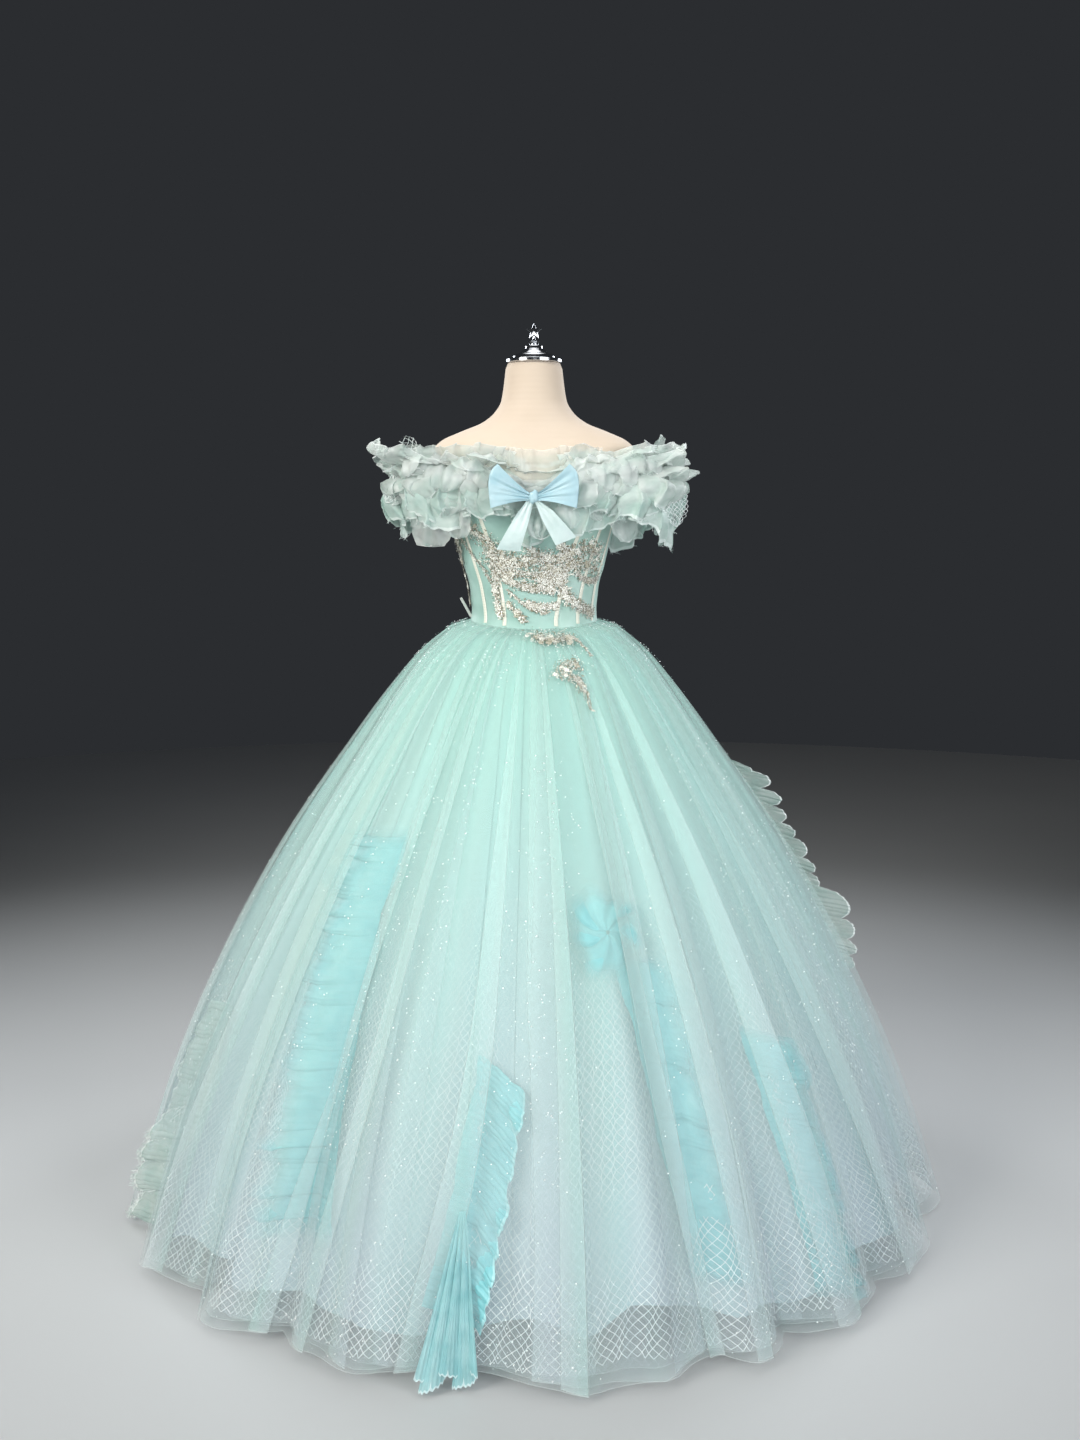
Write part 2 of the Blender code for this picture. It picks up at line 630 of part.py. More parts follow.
def add_bow_loop(side, back, material):
    """Add a ribbon loop that goes out along the front and comes back behind."""
    shares = np.linspace(0.0, 1.0, LOOP_STEPS + 1)
    reach = np.sin(np.pi * shares) ** 0.75
    depth = LOOP_FULL / 2.0 * np.cos(np.pi * shares)
    x = KNOT[0] / 2.0 + GAP + LOOP_REACH * reach
    middle = back - KNOT[1] / 2.0 - LOOP_FORWARD * LOOP_REACH * reach
    fullness = np.minimum(1.0, 0.28 + 1.6 * reach * (1.0 - 0.35 * reach))
    y = middle - depth * fullness
    tall = LOOP_SMALL + (LOOP_TALL - LOOP_SMALL) * reach ** 1.3
    grid = []
    for level in LOOP_LEVELS:
        out = x - LOOP_ROUNDING * reach * abs(level)
        up = BOW_HEIGHT + LOOP_RISE * reach + level * (tall + LOOP_SPREAD * reach)
        grid.append(np.stack([side * out, y, up], axis=1))
    surface = np.array(grid)
    if side < 0.0:
        surface = surface[:, ::-1]
    inner = surface + grid_normals(surface) * (-RIBBON)
    return add_wall("bow_loop_right" if side > 0.0 else "bow_loop_left", inner, surface, material)


def add_bow_tail(name, sideways, downward, narrow, wide, back, material):
    """Add a ribbon tail that hangs from behind the knot and spreads."""
    shares = np.linspace(0.0, 1.0, 7)
    across = np.linspace(-0.5, 0.5, 4)
    direction = np.array([sideways, -downward]) / math.hypot(sideways, downward)
    square = np.array([-direction[1], direction[0]])
    width = narrow + (wide - narrow) * shares ** 0.7
    start = np.array([math.copysign(TAIL_START, sideways), BOW_HEIGHT - KNOT[2] / 2.0 - GAP])
    slant = np.minimum(1.0, TAIL_TURN * shares)
    x = start[0] + sideways * shares[:, None] + square[0] * across[None, :] * width[:, None]
    z = start[1] - downward * shares[:, None] + square[1] * across[None, :] * (width * slant)[:, None]
    sway = TAIL_SWAY * np.sin(2.0 * np.pi * (shares[:, None] + 0.4 * across[None, :]))
    y = back - KNOT[1] / 2.0 + sway * shares[:, None]
    surface = np.stack([x, np.broadcast_to(y, x.shape), z], axis=-1)
    add_shell("bow_tail_" + name, surface, RIBBON, material)


def add_bow(material):
    """Add the knot, two loops and two tails."""
    back = bow_back()
    bpy.ops.mesh.primitive_cube_add(size=1.0, location=(0.0, back - KNOT[1] / 2.0, BOW_HEIGHT))
    knot = bpy.context.object
    knot.name = "bow_knot"
    knot.data.name = "bow_knot"
    for vertex in knot.data.vertices:
        vertex.co = (vertex.co.x * KNOT[0], vertex.co.y * KNOT[1], vertex.co.z * KNOT[2])
    bevel = knot.modifiers.new("round", "BEVEL")
    bevel.width = 0.0025
    bevel.segments = 2
    knot.data.materials.append(material)
    for side in (-1.0, 1.0):
        add_bow_loop(side, back, material)
    for name, sideways, downward, narrow, wide in TAILS:
        add_bow_tail(name, sideways, downward, narrow, wide, back, material)


# ---- skirt ---------------------------------------------------------------------------------

def fold_columns():
    """Return the angle and the fold factor of each column of the skirt."""
    edges = list(VALLEYS) + [VALLEYS[0] + 360.0]
    angles, factors = [], []
    for start, end in zip(edges, edges[1:]):
        width = end - start
        strength = min(1.0, width / FULL_FOLD) ** 0.7
        for quarter, shape in enumerate(FOLD_SHAPE):
            angles.append(start + width * quarter / len(FOLD_SHAPE))
            factors.append(shape * strength)
    return np.array(angles), np.array(factors)


def skirt_layer(layer):
    """Return the inner surface of a skirt layer: 0 overlay, 1 net, 2 lining, 3 the strips' room."""
    angles, factors = fold_columns()
    seam = layer % 3
    rows = [torso_point(angles, waist_height(angles) - SEAM_DROPS[seam], SEAM_OUTS[seam])]
    dip = WAIST_SIDE - waist_height(angles)
    turn = np.radians(angles)
    for height, radius, ratio, follow, fold, veil, under, sink in SKIRT:
        room = (0.0, veil + CLOTH, veil + under + 2.0 * CLOTH, veil / 2.0)[layer]
        radius = radius + fold * factors - room * (1.0 - sink)
        level = np.full_like(angles, height) - dip * follow - room * sink
        rows.append(np.stack([radius * np.sin(turn), -radius * ratio * np.cos(turn), level], axis=1))
    grid = np.array(rows)
    if layer < 2:
        grid[-1, :, 2] = (OVERLAY_HEM, NET_HEM)[layer]
    return grid


def sampled(grid, angle, row):
    """Return points on the triangles of a skirt grid, at angles and fractional rows."""
    angles, _ = fold_columns()
    columns = np.interp((np.asarray(angle) - angles[0]) % 360.0,
                        np.append(angles - angles[0], 360.0), np.arange(len(angles) + 1))
    columns, row = np.broadcast_arrays(columns, row)
    near = np.floor(columns).astype(int)
    upper = np.minimum(np.floor(row).astype(int), grid.shape[0] - 2)
    along, down = (columns - near)[..., None], (row - upper)[..., None]
    wide = len(angles)
    start, beside = grid[upper, near % wide], grid[upper, (near + 1) % wide]
    below, across = grid[upper + 1, near % wide], grid[upper + 1, (near + 1) % wide]
    lower_half = start + (below - start) * down + (across - below) * along
    upper_half = start + (beside - start) * along + (across - beside) * down
    return np.where(down >= along, lower_half, upper_half)


def row_of_height(height):
    """Return the fractional skirt row at a height below the waist's dip."""
    heights = [section[0] for section in SKIRT]
    return np.interp(-np.asarray(height), [-value for value in heights], np.arange(1, len(SKIRT) + 1))


def add_gores(name, surface, material, normals):
    """Add a skirt layer as gores that part in the valleys of the folds."""
    columns = surface.shape[1]
    outer = surface + normals * CLOTH
    folds = len(VALLEYS)
    per_fold = columns // folds
    for gore in range(GORES):
        start = folds * gore // GORES * per_fold
        end = folds * (gore + 1) // GORES * per_fold
        pick = [column % columns for column in range(start, end + 1)]
        add_wall(f"{name}_{gore + 1}", trim_ends(surface[:, pick]), trim_ends(outer[:, pick]), material)


def add_skirt_layers(finishes):
    """Add the overlay and the lining as gores, and the net between them as one ring."""
    overlay = skirt_layer(0)
    add_gores("overlay", overlay, finishes["overlay"], grid_normals(overlay, closed=True))
    net = skirt_layer(1)[list(UNDER_ROWS)][:, ::2]
    add_shell("net_layer", net, CLOTH, finishes["net"], closed=True)
    lining = skirt_layer(2)[list(UNDER_ROWS)][:, ::2]
    normals = grid_normals(lining, closed=True)
    normals[-1, :, 2] = 0.0
    add_gores("lining", lining, finishes["lining"], normals)


def strip_lines(heights, angles, waves):
    """Return the heights and angles along a strip, four steps to a wave."""
    steps = np.linspace(0.0, 1.0, waves * WAVE_SAMPLES + 1)
    height = heights[0] + (heights[1] - heights[0]) * steps
    angle = angles[0] + (angles[1] - angles[0]) * steps
    wave = np.sin(2.0 * np.pi * waves * steps)
    return height, angle, wave


def add_strip(name, high, low, first, last, width, waves, free, seat, material):
    """Add a ruffle strip between overlay and net: stitched on one edge, waved on the other."""
    room = skirt_layer(3)
    height, angle, wave = strip_lines((high, low), (first, last), waves)
    row = row_of_height(height)
    middle = sampled(room, angle, row)
    radius = np.hypot(middle[:, 0], middle[:, 1])
    across = np.array([-0.5, 0.0, 0.5])[:, None]
    angles = angle[None, :] + np.degrees(width * across / radius[None, :])
    surface = sampled(room, angles, row[None, :])
    toward_free = across * free + 0.5
    swing = STRIP_STITCHED + (STRIP_WAVE - STRIP_STITCHED) * toward_free
    rest = STRIP_BIAS * toward_free - seat * (1.0 - toward_free)
    outward = surface[..., :2] / np.linalg.norm(surface[..., :2], axis=-1, keepdims=True)
    surface[..., :2] += outward * (swing * wave[None, :] + rest)[..., None]
    surface = surface[::-1] if last_is_left(surface) else surface
    add_shell("ruffle_" + name, surface, CLOTH, material)


def last_is_left(surface):
    """Tell whether the grid's normals point inward, so that its rows must be turned about."""
    normals = grid_normals(surface)
    outward = surface[..., :2]
    return float((normals[..., :2] * outward).sum()) < 0.0


def add_side_strip(material):
    """Add the strip that stands out from the overlay at the right side, in round lobes."""
    overlay = skirt_layer(0)
    height, angle, _ = strip_lines(SIDE_STRIP_HEIGHTS, SIDE_STRIP_ANGLES, SIDE_STRIP_WAVES)
    steps = np.linspace(0.0, 1.0, len(height))
    wave = np.sin(2.0 * np.pi * SIDE_STRIP_WAVES * steps)
    bulge = np.sqrt(np.abs(np.sin(np.pi * SIDE_STRIP_WAVES * steps)))
    lobe = SIDE_STRIP_DIP + (1.0 - SIDE_STRIP_DIP) * bulge
    ends = np.minimum(1.0, 6.0 * np.minimum(steps, 1.0 - steps) + 0.35)
    root = sampled(overlay, angle, row_of_height(height))
    outward = root[:, :2] / np.linalg.norm(root[:, :2], axis=1, keepdims=True)
    along = np.stack([-outward[:, 1], outward[:, 0]], axis=1)
    rows = []
    for share in (0.0, 0.5, 1.0):
        reach = CLOTH * 2.0 + SIDE_STRIP_LIFT + SIDE_STRIP_REACH * lobe * ends * share
        sweep = (SIDE_STRIP_SWEEP * wave + SIDE_STRIP_FALL) * share
        point = root.copy()
        point[:, :2] += outward * reach[:, None] + along * sweep[:, None]
        point[:, 2] -= SIDE_STRIP_FALL * share
        rows.append(point)
    add_shell("ruffle_f", np.array(rows), CLOTH, material)


def add_lace_tail(material):
    """Add the lace that runs down from the waist seam over the overlay."""
    overlay = skirt_layer(0)
    outer = overlay + grid_normals(overlay, closed=True) * (CLOTH + LACE_TAIL_LIFT)
    table_rows, table_firsts, table_lasts = zip(*LACE_TAIL)
    count = int(round((table_rows[-1] - table_rows[0]) / LACE_TAIL_STEP)) + 1
    rows = (LACE_TAIL_STEP * np.arange(1, count + 1))[:, None]
    firsts = np.interp(rows, table_rows, table_firsts)
    lasts = np.interp(rows, table_rows, table_lasts)
    share = np.linspace(0.0, 1.0, LACE_TAIL_COLUMNS)[None, :]
    surface = sampled(outer, firsts + (lasts - firsts) * share, rows)
    add_shell("lace_tail", surface, LACE_WALL, material)


def add_waist_loop(material):
    """Add the small ribbon loop that stands up from the waist seam at the left side."""
    steps = np.linspace(0.0, 1.0, 4)
    bend = np.radians(np.linspace(180.0, 0.0, 5))[1:-1]
    half = WAIST_LOOP_HALF
    straight = WAIST_LOOP_LENGTH - half
    along = np.concatenate([steps * straight, straight + half * np.sin(bend), steps[::-1] * straight])
    aside = np.concatenate([np.full(4, -half), half * np.cos(bend), np.full(4, half)])
    away = np.concatenate([np.full(4, -1.0), np.cos(bend), np.full(4, 1.0)])
    tip = np.concatenate([np.zeros(4), np.sin(bend), np.zeros(4)])
    root = torso_point(WAIST_LOOP_ANGLE, WAIST_LOOP_HEIGHT, BODICE_OUT + PANEL + 2.0 * GAP)
    up = np.array([-WAIST_LOOP_LEAN, 0.0, 1.0]) / math.hypot(WAIST_LOOP_LEAN, 1.0)
    flat = np.array([0.0, 1.0, 0.0])
    rows = []
    for shift in (-0.5, 0.5):
        across = aside + WAIST_LOOP_STRAND * shift * away
        lift = along + WAIST_LOOP_STRAND * shift * tip
        rows.append(root + up * lift[:, None] + flat * (across[:, None] - half))
    add_shell("waist_loop", np.array(rows), WAIST_LOOP_WALL, material)


def add_skirt(finishes):
    """Add the layers, the ruffle strips, the lace tail and the waist loop."""
    add_skirt_layers(finishes)
    for strip in STRIPS:
        add_strip(*strip, finishes["ruffle"])
    add_side_strip(finishes["ruffle"])
    add_lace_tail(finishes["lace"])
    add_waist_loop(finishes["ribbon"])


# ---- build ---------------------------------------------------------------------------------

def main():
    """Clear the scene and add every piece."""
    for item in list(bpy.data.objects):
        bpy.data.objects.remove(item, do_unlink=True)
    finishes = make_finishes()
    add_form(finishes)
    add_bodice(finishes)
    add_bands(finishes["band"])
    add_frills(finishes["frill"])
    add_bow(finishes["bow"])
    add_skirt(finishes)


main()
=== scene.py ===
"""Off-shoulder ball gown of layered tulle on a limbless dress form, dressed and lit for a studio view.

Metres, +Z up, the front toward -Y, the floor at 0. Angles are in degrees round the body: 0 at the
front, 90 at +X, 180 at the back. Left is -X. Cloth is a grid of points: rows run down or from the
stitched edge to the free one, columns run round.
"""
import math

import bpy
import numpy as np
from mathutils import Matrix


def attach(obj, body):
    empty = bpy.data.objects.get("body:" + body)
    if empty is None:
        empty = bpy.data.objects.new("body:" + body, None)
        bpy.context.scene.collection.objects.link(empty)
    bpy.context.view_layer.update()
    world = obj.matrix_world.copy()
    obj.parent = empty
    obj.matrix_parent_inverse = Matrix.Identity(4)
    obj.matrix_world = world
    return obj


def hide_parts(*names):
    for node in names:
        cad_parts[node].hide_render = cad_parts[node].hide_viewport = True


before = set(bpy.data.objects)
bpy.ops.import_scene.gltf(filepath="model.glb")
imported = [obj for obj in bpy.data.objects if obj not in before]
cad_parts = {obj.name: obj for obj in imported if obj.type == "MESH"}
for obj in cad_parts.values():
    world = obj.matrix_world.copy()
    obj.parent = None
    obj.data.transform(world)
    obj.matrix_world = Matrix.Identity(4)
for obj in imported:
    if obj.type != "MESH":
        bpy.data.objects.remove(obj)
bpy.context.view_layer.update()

# ---- sizes of the form and the gown --------------------------------------------------------

# Thickness of soft cloth and of a bodice panel, and how far out from the form the layers lie.
CLOTH = 0.0012
PANEL = 0.0015
BODICE_OUT = 0.0014
TAPE_OUT = BODICE_OUT + PANEL + 0.0006
LACE_OUT = TAPE_OUT + 0.0020
BAND_OUT = BODICE_OUT + PANEL + 0.0008
FRILL_OUT = BAND_OUT + PANEL + CLOTH / 2.0 + 0.0014
TRIM_OUT = 0.0034                                 # lace and glitter, out from the overlay

# Dress form: height, half width, depth in front of the axis, depth behind it.
TORSO = (
    (0.800, 0.140, 0.090, 0.105), (0.870, 0.160, 0.102, 0.128), (0.980, 0.150, 0.098, 0.115),
    (1.060, 0.121, 0.088, 0.088), (1.105, 0.1135, 0.085, 0.080), (1.150, 0.1175, 0.087, 0.080),
    (1.200, 0.1300, 0.094, 0.086), (1.260, 0.1440, 0.107, 0.095), (1.300, 0.1510, 0.114, 0.100),
    (1.340, 0.1570, 0.107, 0.103), (1.380, 0.1700, 0.090, 0.104), (1.405, 0.1820, 0.078, 0.096),
    (1.418, 0.1700, 0.071, 0.087), (1.434, 0.1350, 0.065, 0.077), (1.450, 0.0960, 0.060, 0.069),
    (1.468, 0.0730, 0.056, 0.062), (1.490, 0.0600, 0.051, 0.055), (1.557, 0.0505, 0.047, 0.048),
)
TORSO_RINGS, TORSO_SIDES, NECK_ROUNDING = 116, 132, 0.0025
BUST_HEIGHT, BUST_TALL, BUST_ANGLE, BUST_SPREAD, BUST_RISE = 1.292, 0.042, 37.0, 23.0, 0.013
NECK_TOP = 1.5573

# Neck cap, as radius and height above the neck, and the star on it.
CAP_SIDES = 72
CAP_PROFILE = (
    (0.0, 0.0), (0.0500, 0.0), (0.0515, 0.0012), (0.0515, 0.0058), (0.0500, 0.0070), (0.0415, 0.0082),
    (0.0405, 0.0100), (0.0395, 0.0140), (0.0380, 0.0150), (0.0290, 0.0165), (0.0280, 0.0172),
    (0.0230, 0.0225), (0.0175, 0.0250), (0.0165, 0.0262), (0.0165, 0.0300), (0.0155, 0.0312),
    (0.0090, 0.0335), (0.0085, 0.0345), (0.0108, 0.0365), (0.0115, 0.0388), (0.0095, 0.0404),
    (0.0035, 0.0413), (0.0028, 0.0425), (0.0026, 0.0480), (0.0, 0.0480),
)
STAR_POINTS, STAR_OUTER, STAR_INNER, STAR_SEAT = 5, 0.0148, 0.0068, 0.0089
# Share of the star's outline and depth of each of its rings.
STAR_RINGS = ((0.0, -0.0080), (0.92, -0.0060), (1.0, -0.0042), (1.0, 0.0042), (0.92, 0.0060), (0.0, 0.0080))

WAIST_SIDE, WAIST_DIP = 1.094, 0.014

# Upper edge of the bodice: angle from the front, height.
BODICE_TOP = (
    (0.0, 1.353), (30.0, 1.366), (55.0, 1.358), (78.0, 1.316), (100.0, 1.308), (130.0, 1.326), (180.0, 1.336),
)
# Panels: name, angle at the waist and at the top of the first seam, and of the last.
PANELS = (
    ("bodice_side_left", -96.0, -98.0, -49.0, -66.0), ("bodice_front_left", -49.0, -66.0, -27.0, -42.0),
    ("bodice_front_centre", -27.0, -42.0, 20.0, 43.0), ("bodice_front_right", 20.0, 43.0, 43.0, 61.0),
    ("bodice_side_right", 43.0, 61.0, 96.0, 98.0), ("bodice_back_right", 96.0, 98.0, 180.0, 180.0),
    ("bodice_back_left", 180.0, 180.0, 264.0, 262.0),
)
# Boning tapes: name, angle at the waist, angle at the top.
TAPES = (
    ("left_outer", -49.0, -66.0), ("left_inner", -27.0, -42.0), ("right_inner", 20.0, 43.0),
    ("right_outer", 43.0, 61.0), ("right_side", 65.0, 79.0),
)
TAPE_WIDTH, TAPE_TOP, TAPE_CROWN = 0.0075, 1.345, 0.0010

# Sleeves stand off the form round 90 degrees either side.
ARM_ROOM, ARM_SPAN, ARM_RISE = 0.062, 45.0, 0.6

# Skirt rows below the waist seam: height, radius, depth by width, share of the seam's dip, depth
# of the folds, room from overlay to net, from net to lining, share of that room taken downward.
SKIRT = (
    (1.080, 0.158, 0.86, 0.90, 0.003, 0.0030, 0.0020, 0.90),
    (1.040, 0.208, 0.88, 0.60, 0.006, 0.0100, 0.0040, 0.70),
    (0.970, 0.268, 0.93, 0.25, 0.010, 0.0190, 0.0060, 0.45),
    (0.860, 0.348, 0.98, 0.0, 0.018, 0.0280, 0.0080, 0.20),
    (0.700, 0.458, 1.0, 0.0, 0.026, 0.0340, 0.0100, 0.0),
    (0.480, 0.582, 1.0, 0.0, 0.034, 0.0360, 0.0100, 0.0),
    (0.240, 0.690, 1.0, 0.0, 0.042, 0.0360, 0.0100, 0.0),
    (0.000, 0.768, 1.0, 0.0, 0.048, 0.0360, 0.0100, 0.0),
)
FLOOR_ROW = float(len(SKIRT))
# Drop and distance out of the seam of overlay, net and lining.
SEAM_DROPS = (0.0018, 0.0036, 0.0054)
SEAM_OUTS = (0.0030, 0.0022, 0.0014)
VALLEYS = (
    -92.0, -70.0, -48.6, -33.0, -8.0, 23.0, 33.0, 52.0, 72.0, 90.0,
    112.0, 131.0, 150.0, 166.0, 187.0, 208.0, 226.0, 246.0,
)
FULL_FOLD = 20.0

# Ruffle strips under the overlay: name, upper and lower height, angle at each, width, lobes, side
# of the free edge, fall of the pleats toward it, whether its lower end comes out at the hem, and
# how far its free edge thins out under the veils.
STRIPS = (
    ("a", 0.400, 0.030, -80.0, -69.0, 0.130, 8, -1, 0.028, 1.0, 0.0),
    ("b", 0.760, 0.150, -43.5, -33.5, 0.134, 17, -1, 0.004, 0.0, 1.0),
    ("c", 0.440, 0.110, -4.9, -9.8, 0.082, 8, 1, 0.046, 1.0, 0.0),
    ("d", 0.590, 0.110, 20.6, 25.6, 0.100, 7, 1, 0.018, 0.0, 1.0),
    ("e", 0.455, 0.050, 42.0, 43.5, 0.104, 9, 1, 0.034, 0.0, 0.75),
    ("g", 0.700, 0.120, 141.0, 143.0, 0.110, 12, 1, 0.020, 0.0, 1.0),
    ("h", 0.680, 0.140, 217.0, 220.0, 0.110, 12, -1, 0.020, 0.0, 1.0),
)


# ---- materials -----------------------------------------------------------------------------

def linear(colour):
    """Turn an sRGB hex colour into linear red, green, blue and alpha."""
    values = [int(colour[place:place + 2], 16) / 255.0 for place in (1, 3, 5)]
    return (*[v / 12.92 if v <= 0.04045 else ((v + 0.055) / 1.055) ** 2.4 for v in values], 1.0)


def add_node(tree, kind, inputs=None, **settings):
    """Add a node with its settings; an input is a plain value or another node's output."""
    node = tree.nodes.new(kind)
    for name, value in settings.items():
        setattr(node, name, value)
    for name, value in (inputs or {}).items():
        if isinstance(value, bpy.types.NodeSocket):
            tree.links.new(value, node.inputs[name])
        else:
            node.inputs[name].default_value = value
    return node


def start_finish(name, **sockets):
    """Make a Principled material and return it with its tree, its shader and its object places."""
    material = bpy.data.materials.new(name)
    material.use_nodes = True
    tree = material.node_tree
    shader = tree.nodes["Principled BSDF"]
    for socket, value in sockets.items():
        shader.inputs[socket.replace("_", " ")].default_value = value
    place = add_node(tree, "ShaderNodeTexCoord").outputs["Object"]
    return material, tree, shader, place


def blend_colours(tree, share, low, high):
    """Mix two colours, each an sRGB hex or an output, by a share."""
    mix = add_node(tree, "ShaderNodeMix", data_type="RGBA", clamp_factor=True)
    tree.links.new(share, mix.inputs["Factor"])
    for name, colour in (("A", low), ("B", high)):
        socket = next(s for s in mix.inputs if s.name == name and s.type == "RGBA")
        if isinstance(colour, str):
            socket.default_value = linear(colour)
        else:
            tree.links.new(colour, socket)
    return next(s for s in mix.outputs if s.type == "RGBA")


def paint(tree, shader, share, low, high):
    """Colour the shader between two colours by a share."""
    tree.links.new(blend_colours(tree, share, low, high), shader.inputs["Base Color"])


def spread(tree, value, low, high, to_low=0.0, to_high=1.0):
    """Map a value from one range to another, clamped."""
    made = add_node(tree, "ShaderNodeMapRange", {
        "Value": value, "From Min": low, "From Max": high, "To Min": to_low, "To Max": to_high})
    return made.outputs["Result"]


def calculate(tree, operation, *values):
    """Join values or outputs by one step of arithmetic."""
    return add_node(tree, "ShaderNodeMath", dict(enumerate(values)), operation=operation).outputs[0]


def speckle(tree, place, millimetres, detail=2.0, stretch=(1.0, 1.0, 1.0)):
    """Return soft noise whose lumps are so many millimetres wide, longer where stretched."""
    scaled = add_node(tree, "ShaderNodeMapping", {"Vector": place, "Scale": stretch})
    noise = add_node(tree, "ShaderNodeTexNoise", {
        "Vector": scaled.outputs[0], "Scale": 1000.0 / millimetres, "Detail": detail})
    return noise.outputs["Fac"]


def waves(tree, place, millimetres, distortion, detail=2.0, **settings):
    """Return wavy lines for a rib or a knit of so many millimetres."""
    wave = add_node(tree, "ShaderNodeTexWave", {
        "Vector": place, "Scale": 1000.0 / millimetres / 20.0, "Distortion": distortion, "Detail": detail},
        **settings)
    return wave.outputs["Fac"]


def add_relief(tree, shader, height, depth):
    """Raise the surface by a pattern of a real depth in metres."""
    bump = add_node(tree, "ShaderNodeBump", {"Height": height, "Distance": depth, "Strength": 1.0})
    tree.links.new(bump.outputs[0], shader.inputs["Normal"])


def round_place(tree, place):
    """Return places unrolled round the body, as turn and height, and the height alone."""
    parts = add_node(tree, "ShaderNodeSeparateXYZ", {0: place}).outputs
    turn = calculate(tree, "ARCTAN2", parts["X"], calculate(tree, "MULTIPLY", parts["Y"], -1.0))
    return add_node(tree, "ShaderNodeCombineXYZ", {"X": turn, "Z": parts["Z"]}).outputs[0], parts["Z"]


def cloth_place(tree):
    """Return places on the cloth itself, and their parts: X is metres along, Y is the edge value."""
    along = add_node(tree, "ShaderNodeUVMap", uv_map="cloth").outputs[0]
    return along, add_node(tree, "ShaderNodeSeparateXYZ", {0: along}).outputs


def make_tulle(name, top, bottom, shade, light, alpha, roughness, streak, change=(1.05, 0.10)):
    """Soft tulle, dyed in a fade from the waist to the hem. Its threads are too fine to show, so
    they are an even veil, denser in long soft streaks. The edge value is 1 along a fold or the hem,
    where the veil is drawn lighter and denser: at the hem the threads lie close, and along a fold
    the fine light line is a painted highlight. streak is a count in a turn of one radian; change
    holds the heights where the fade starts and ends."""
    material, tree, shader, place = start_finish(name, Roughness=roughness, Sheen_Weight=0.25,
                                                 Sheen_Roughness=0.5)
    unrolled, height = round_place(tree, place)
    edge = cloth_place(tree)[1]["Y"]
    dyed = blend_colours(tree, spread(tree, height, *change), top, bottom)
    streaks = speckle(tree, unrolled, 1000.0 / streak, 0.6, (1.0, 1.0, 0.030))
    tinted = blend_colours(tree, spread(tree, streaks, 0.42, 0.70, 0.0, 0.55), dyed, shade)
    # Along folds the edge value paints a highlight, turning the colour toward light and thickening the veil;
    # at the hem it marks the close threads.
    paint(tree, shader, edge, tinted, light)
    if alpha < 1.0:
        veil = spread(tree, streaks, 0.3, 0.7, alpha * 0.85, alpha * 1.15)
        line = calculate(tree, "MULTIPLY", edge, 0.55)
        tree.links.new(calculate(tree, "MAXIMUM", veil, line), shader.inputs["Alpha"])
    add_relief(tree, shader, speckle(tree, place, 2.5), 0.00015)
    return material


def make_organza(name, colour, deep, alpha, edge, edge_alpha, edge_from=0.955, rib=2.4, mist=0.0):
    """Crisp organza: sheer and slightly shiny, with a fine rib, given in millimetres, and a whiter
    rolled edge where the cloth is doubled; where a strip's edge values mark crests and folds, the
    same edge colour is a painted highlight. Mist thins the stitched side of a piece that lies under
    veils, where they blur its outline."""
    material, tree, shader, place = start_finish(name, Roughness=0.42, Sheen_Weight=0.35,
                                                 Sheen_Roughness=0.35)
    along, parts = cloth_place(tree)
    # Edge values above edge_from get the edge colour: a doubled rolled edge, and a painted highlight along a
    # strip's crests and folds.
    rolled = spread(tree, parts["Y"], edge_from, edge_from + 0.015)
    cloud = speckle(tree, place, 34.0)
    paint(tree, shader, rolled, blend_colours(tree, spread(tree, cloud, 0.4, 0.65), colour, deep), edge)
    veil = spread(tree, rolled, 0.0, 1.0, alpha, edge_alpha)
    if mist:
        veil = calculate(tree, "MULTIPLY", veil, spread(tree, parts["Y"], 0.0, mist, 0.1, 1.0))
    tree.links.new(veil, shader.inputs["Alpha"])
    add_relief(tree, shader, waves(tree, along, rib, 0.6, 1.0), 0.0002)
    return material


def make_satin(name, colour, deep, roughness, slub=3.0, sheen=0.2):
    """Woven satin: close floats give long soft highlights; slight slubs, so many millimetres wide,
    break them."""
    material, tree, shader, place = start_finish(name, Roughness=roughness, Sheen_Weight=sheen,
                                                 Anisotropic=0.4)
    cloud = speckle(tree, place, 40.0, 3.0)
    paint(tree, shader, spread(tree, cloud, 0.38, 0.66), colour, deep)
    add_relief(tree, shader, speckle(tree, place, slub, 2.0, (1.0, 1.0, 0.15)), 0.00012)
    return material


def make_tape_cloth():
    """Cream satin ribbon over a steel bone: smooth, with fine stitched lines along it."""
    material, tree, shader, place = start_finish("cream_satin_boning_tape", Roughness=0.38, Sheen_Weight=0.2)
    paint(tree, shader, speckle(tree, place, 18.0), "#F4F3E6", "#E6E8D8")
    along = cloth_place(tree)[1]["Y"]
    stitch = calculate(tree, "SINE", calculate(tree, "MULTIPLY", along, 2.0 * math.pi * 90.0))
    add_relief(tree, shader, stitch, 0.00012)
    return material


def make_jersey():
    """Cotton jersey stretched over the form: matt cream with a fine knit, drawn at 1.6 mm."""
    material, tree, shader, place = start_finish("cream_jersey_knit", Roughness=0.85, Sheen_Weight=0.3)
    paint(tree, shader, speckle(tree, place, 60.0), "#E3D2BF", "#DCCAB5")
    add_relief(tree, shader, waves(tree, place, 1.6, 1.5, bands_direction="Z"), 0.00012)
    return material


def make_metal(name, colour, roughness):
    """Turned metal under bright plating or paint: clear reflections, faint turning marks."""
    material, tree, shader, place = start_finish(name, Metallic=1.0, Roughness=roughness)
    marks = speckle(tree, place, 1.2, 1.0, (0.2, 0.2, 6.0))
    paint(tree, shader, marks, colour, "#B9BCC0")
    add_relief(tree, shader, marks, 0.00002)
    return material


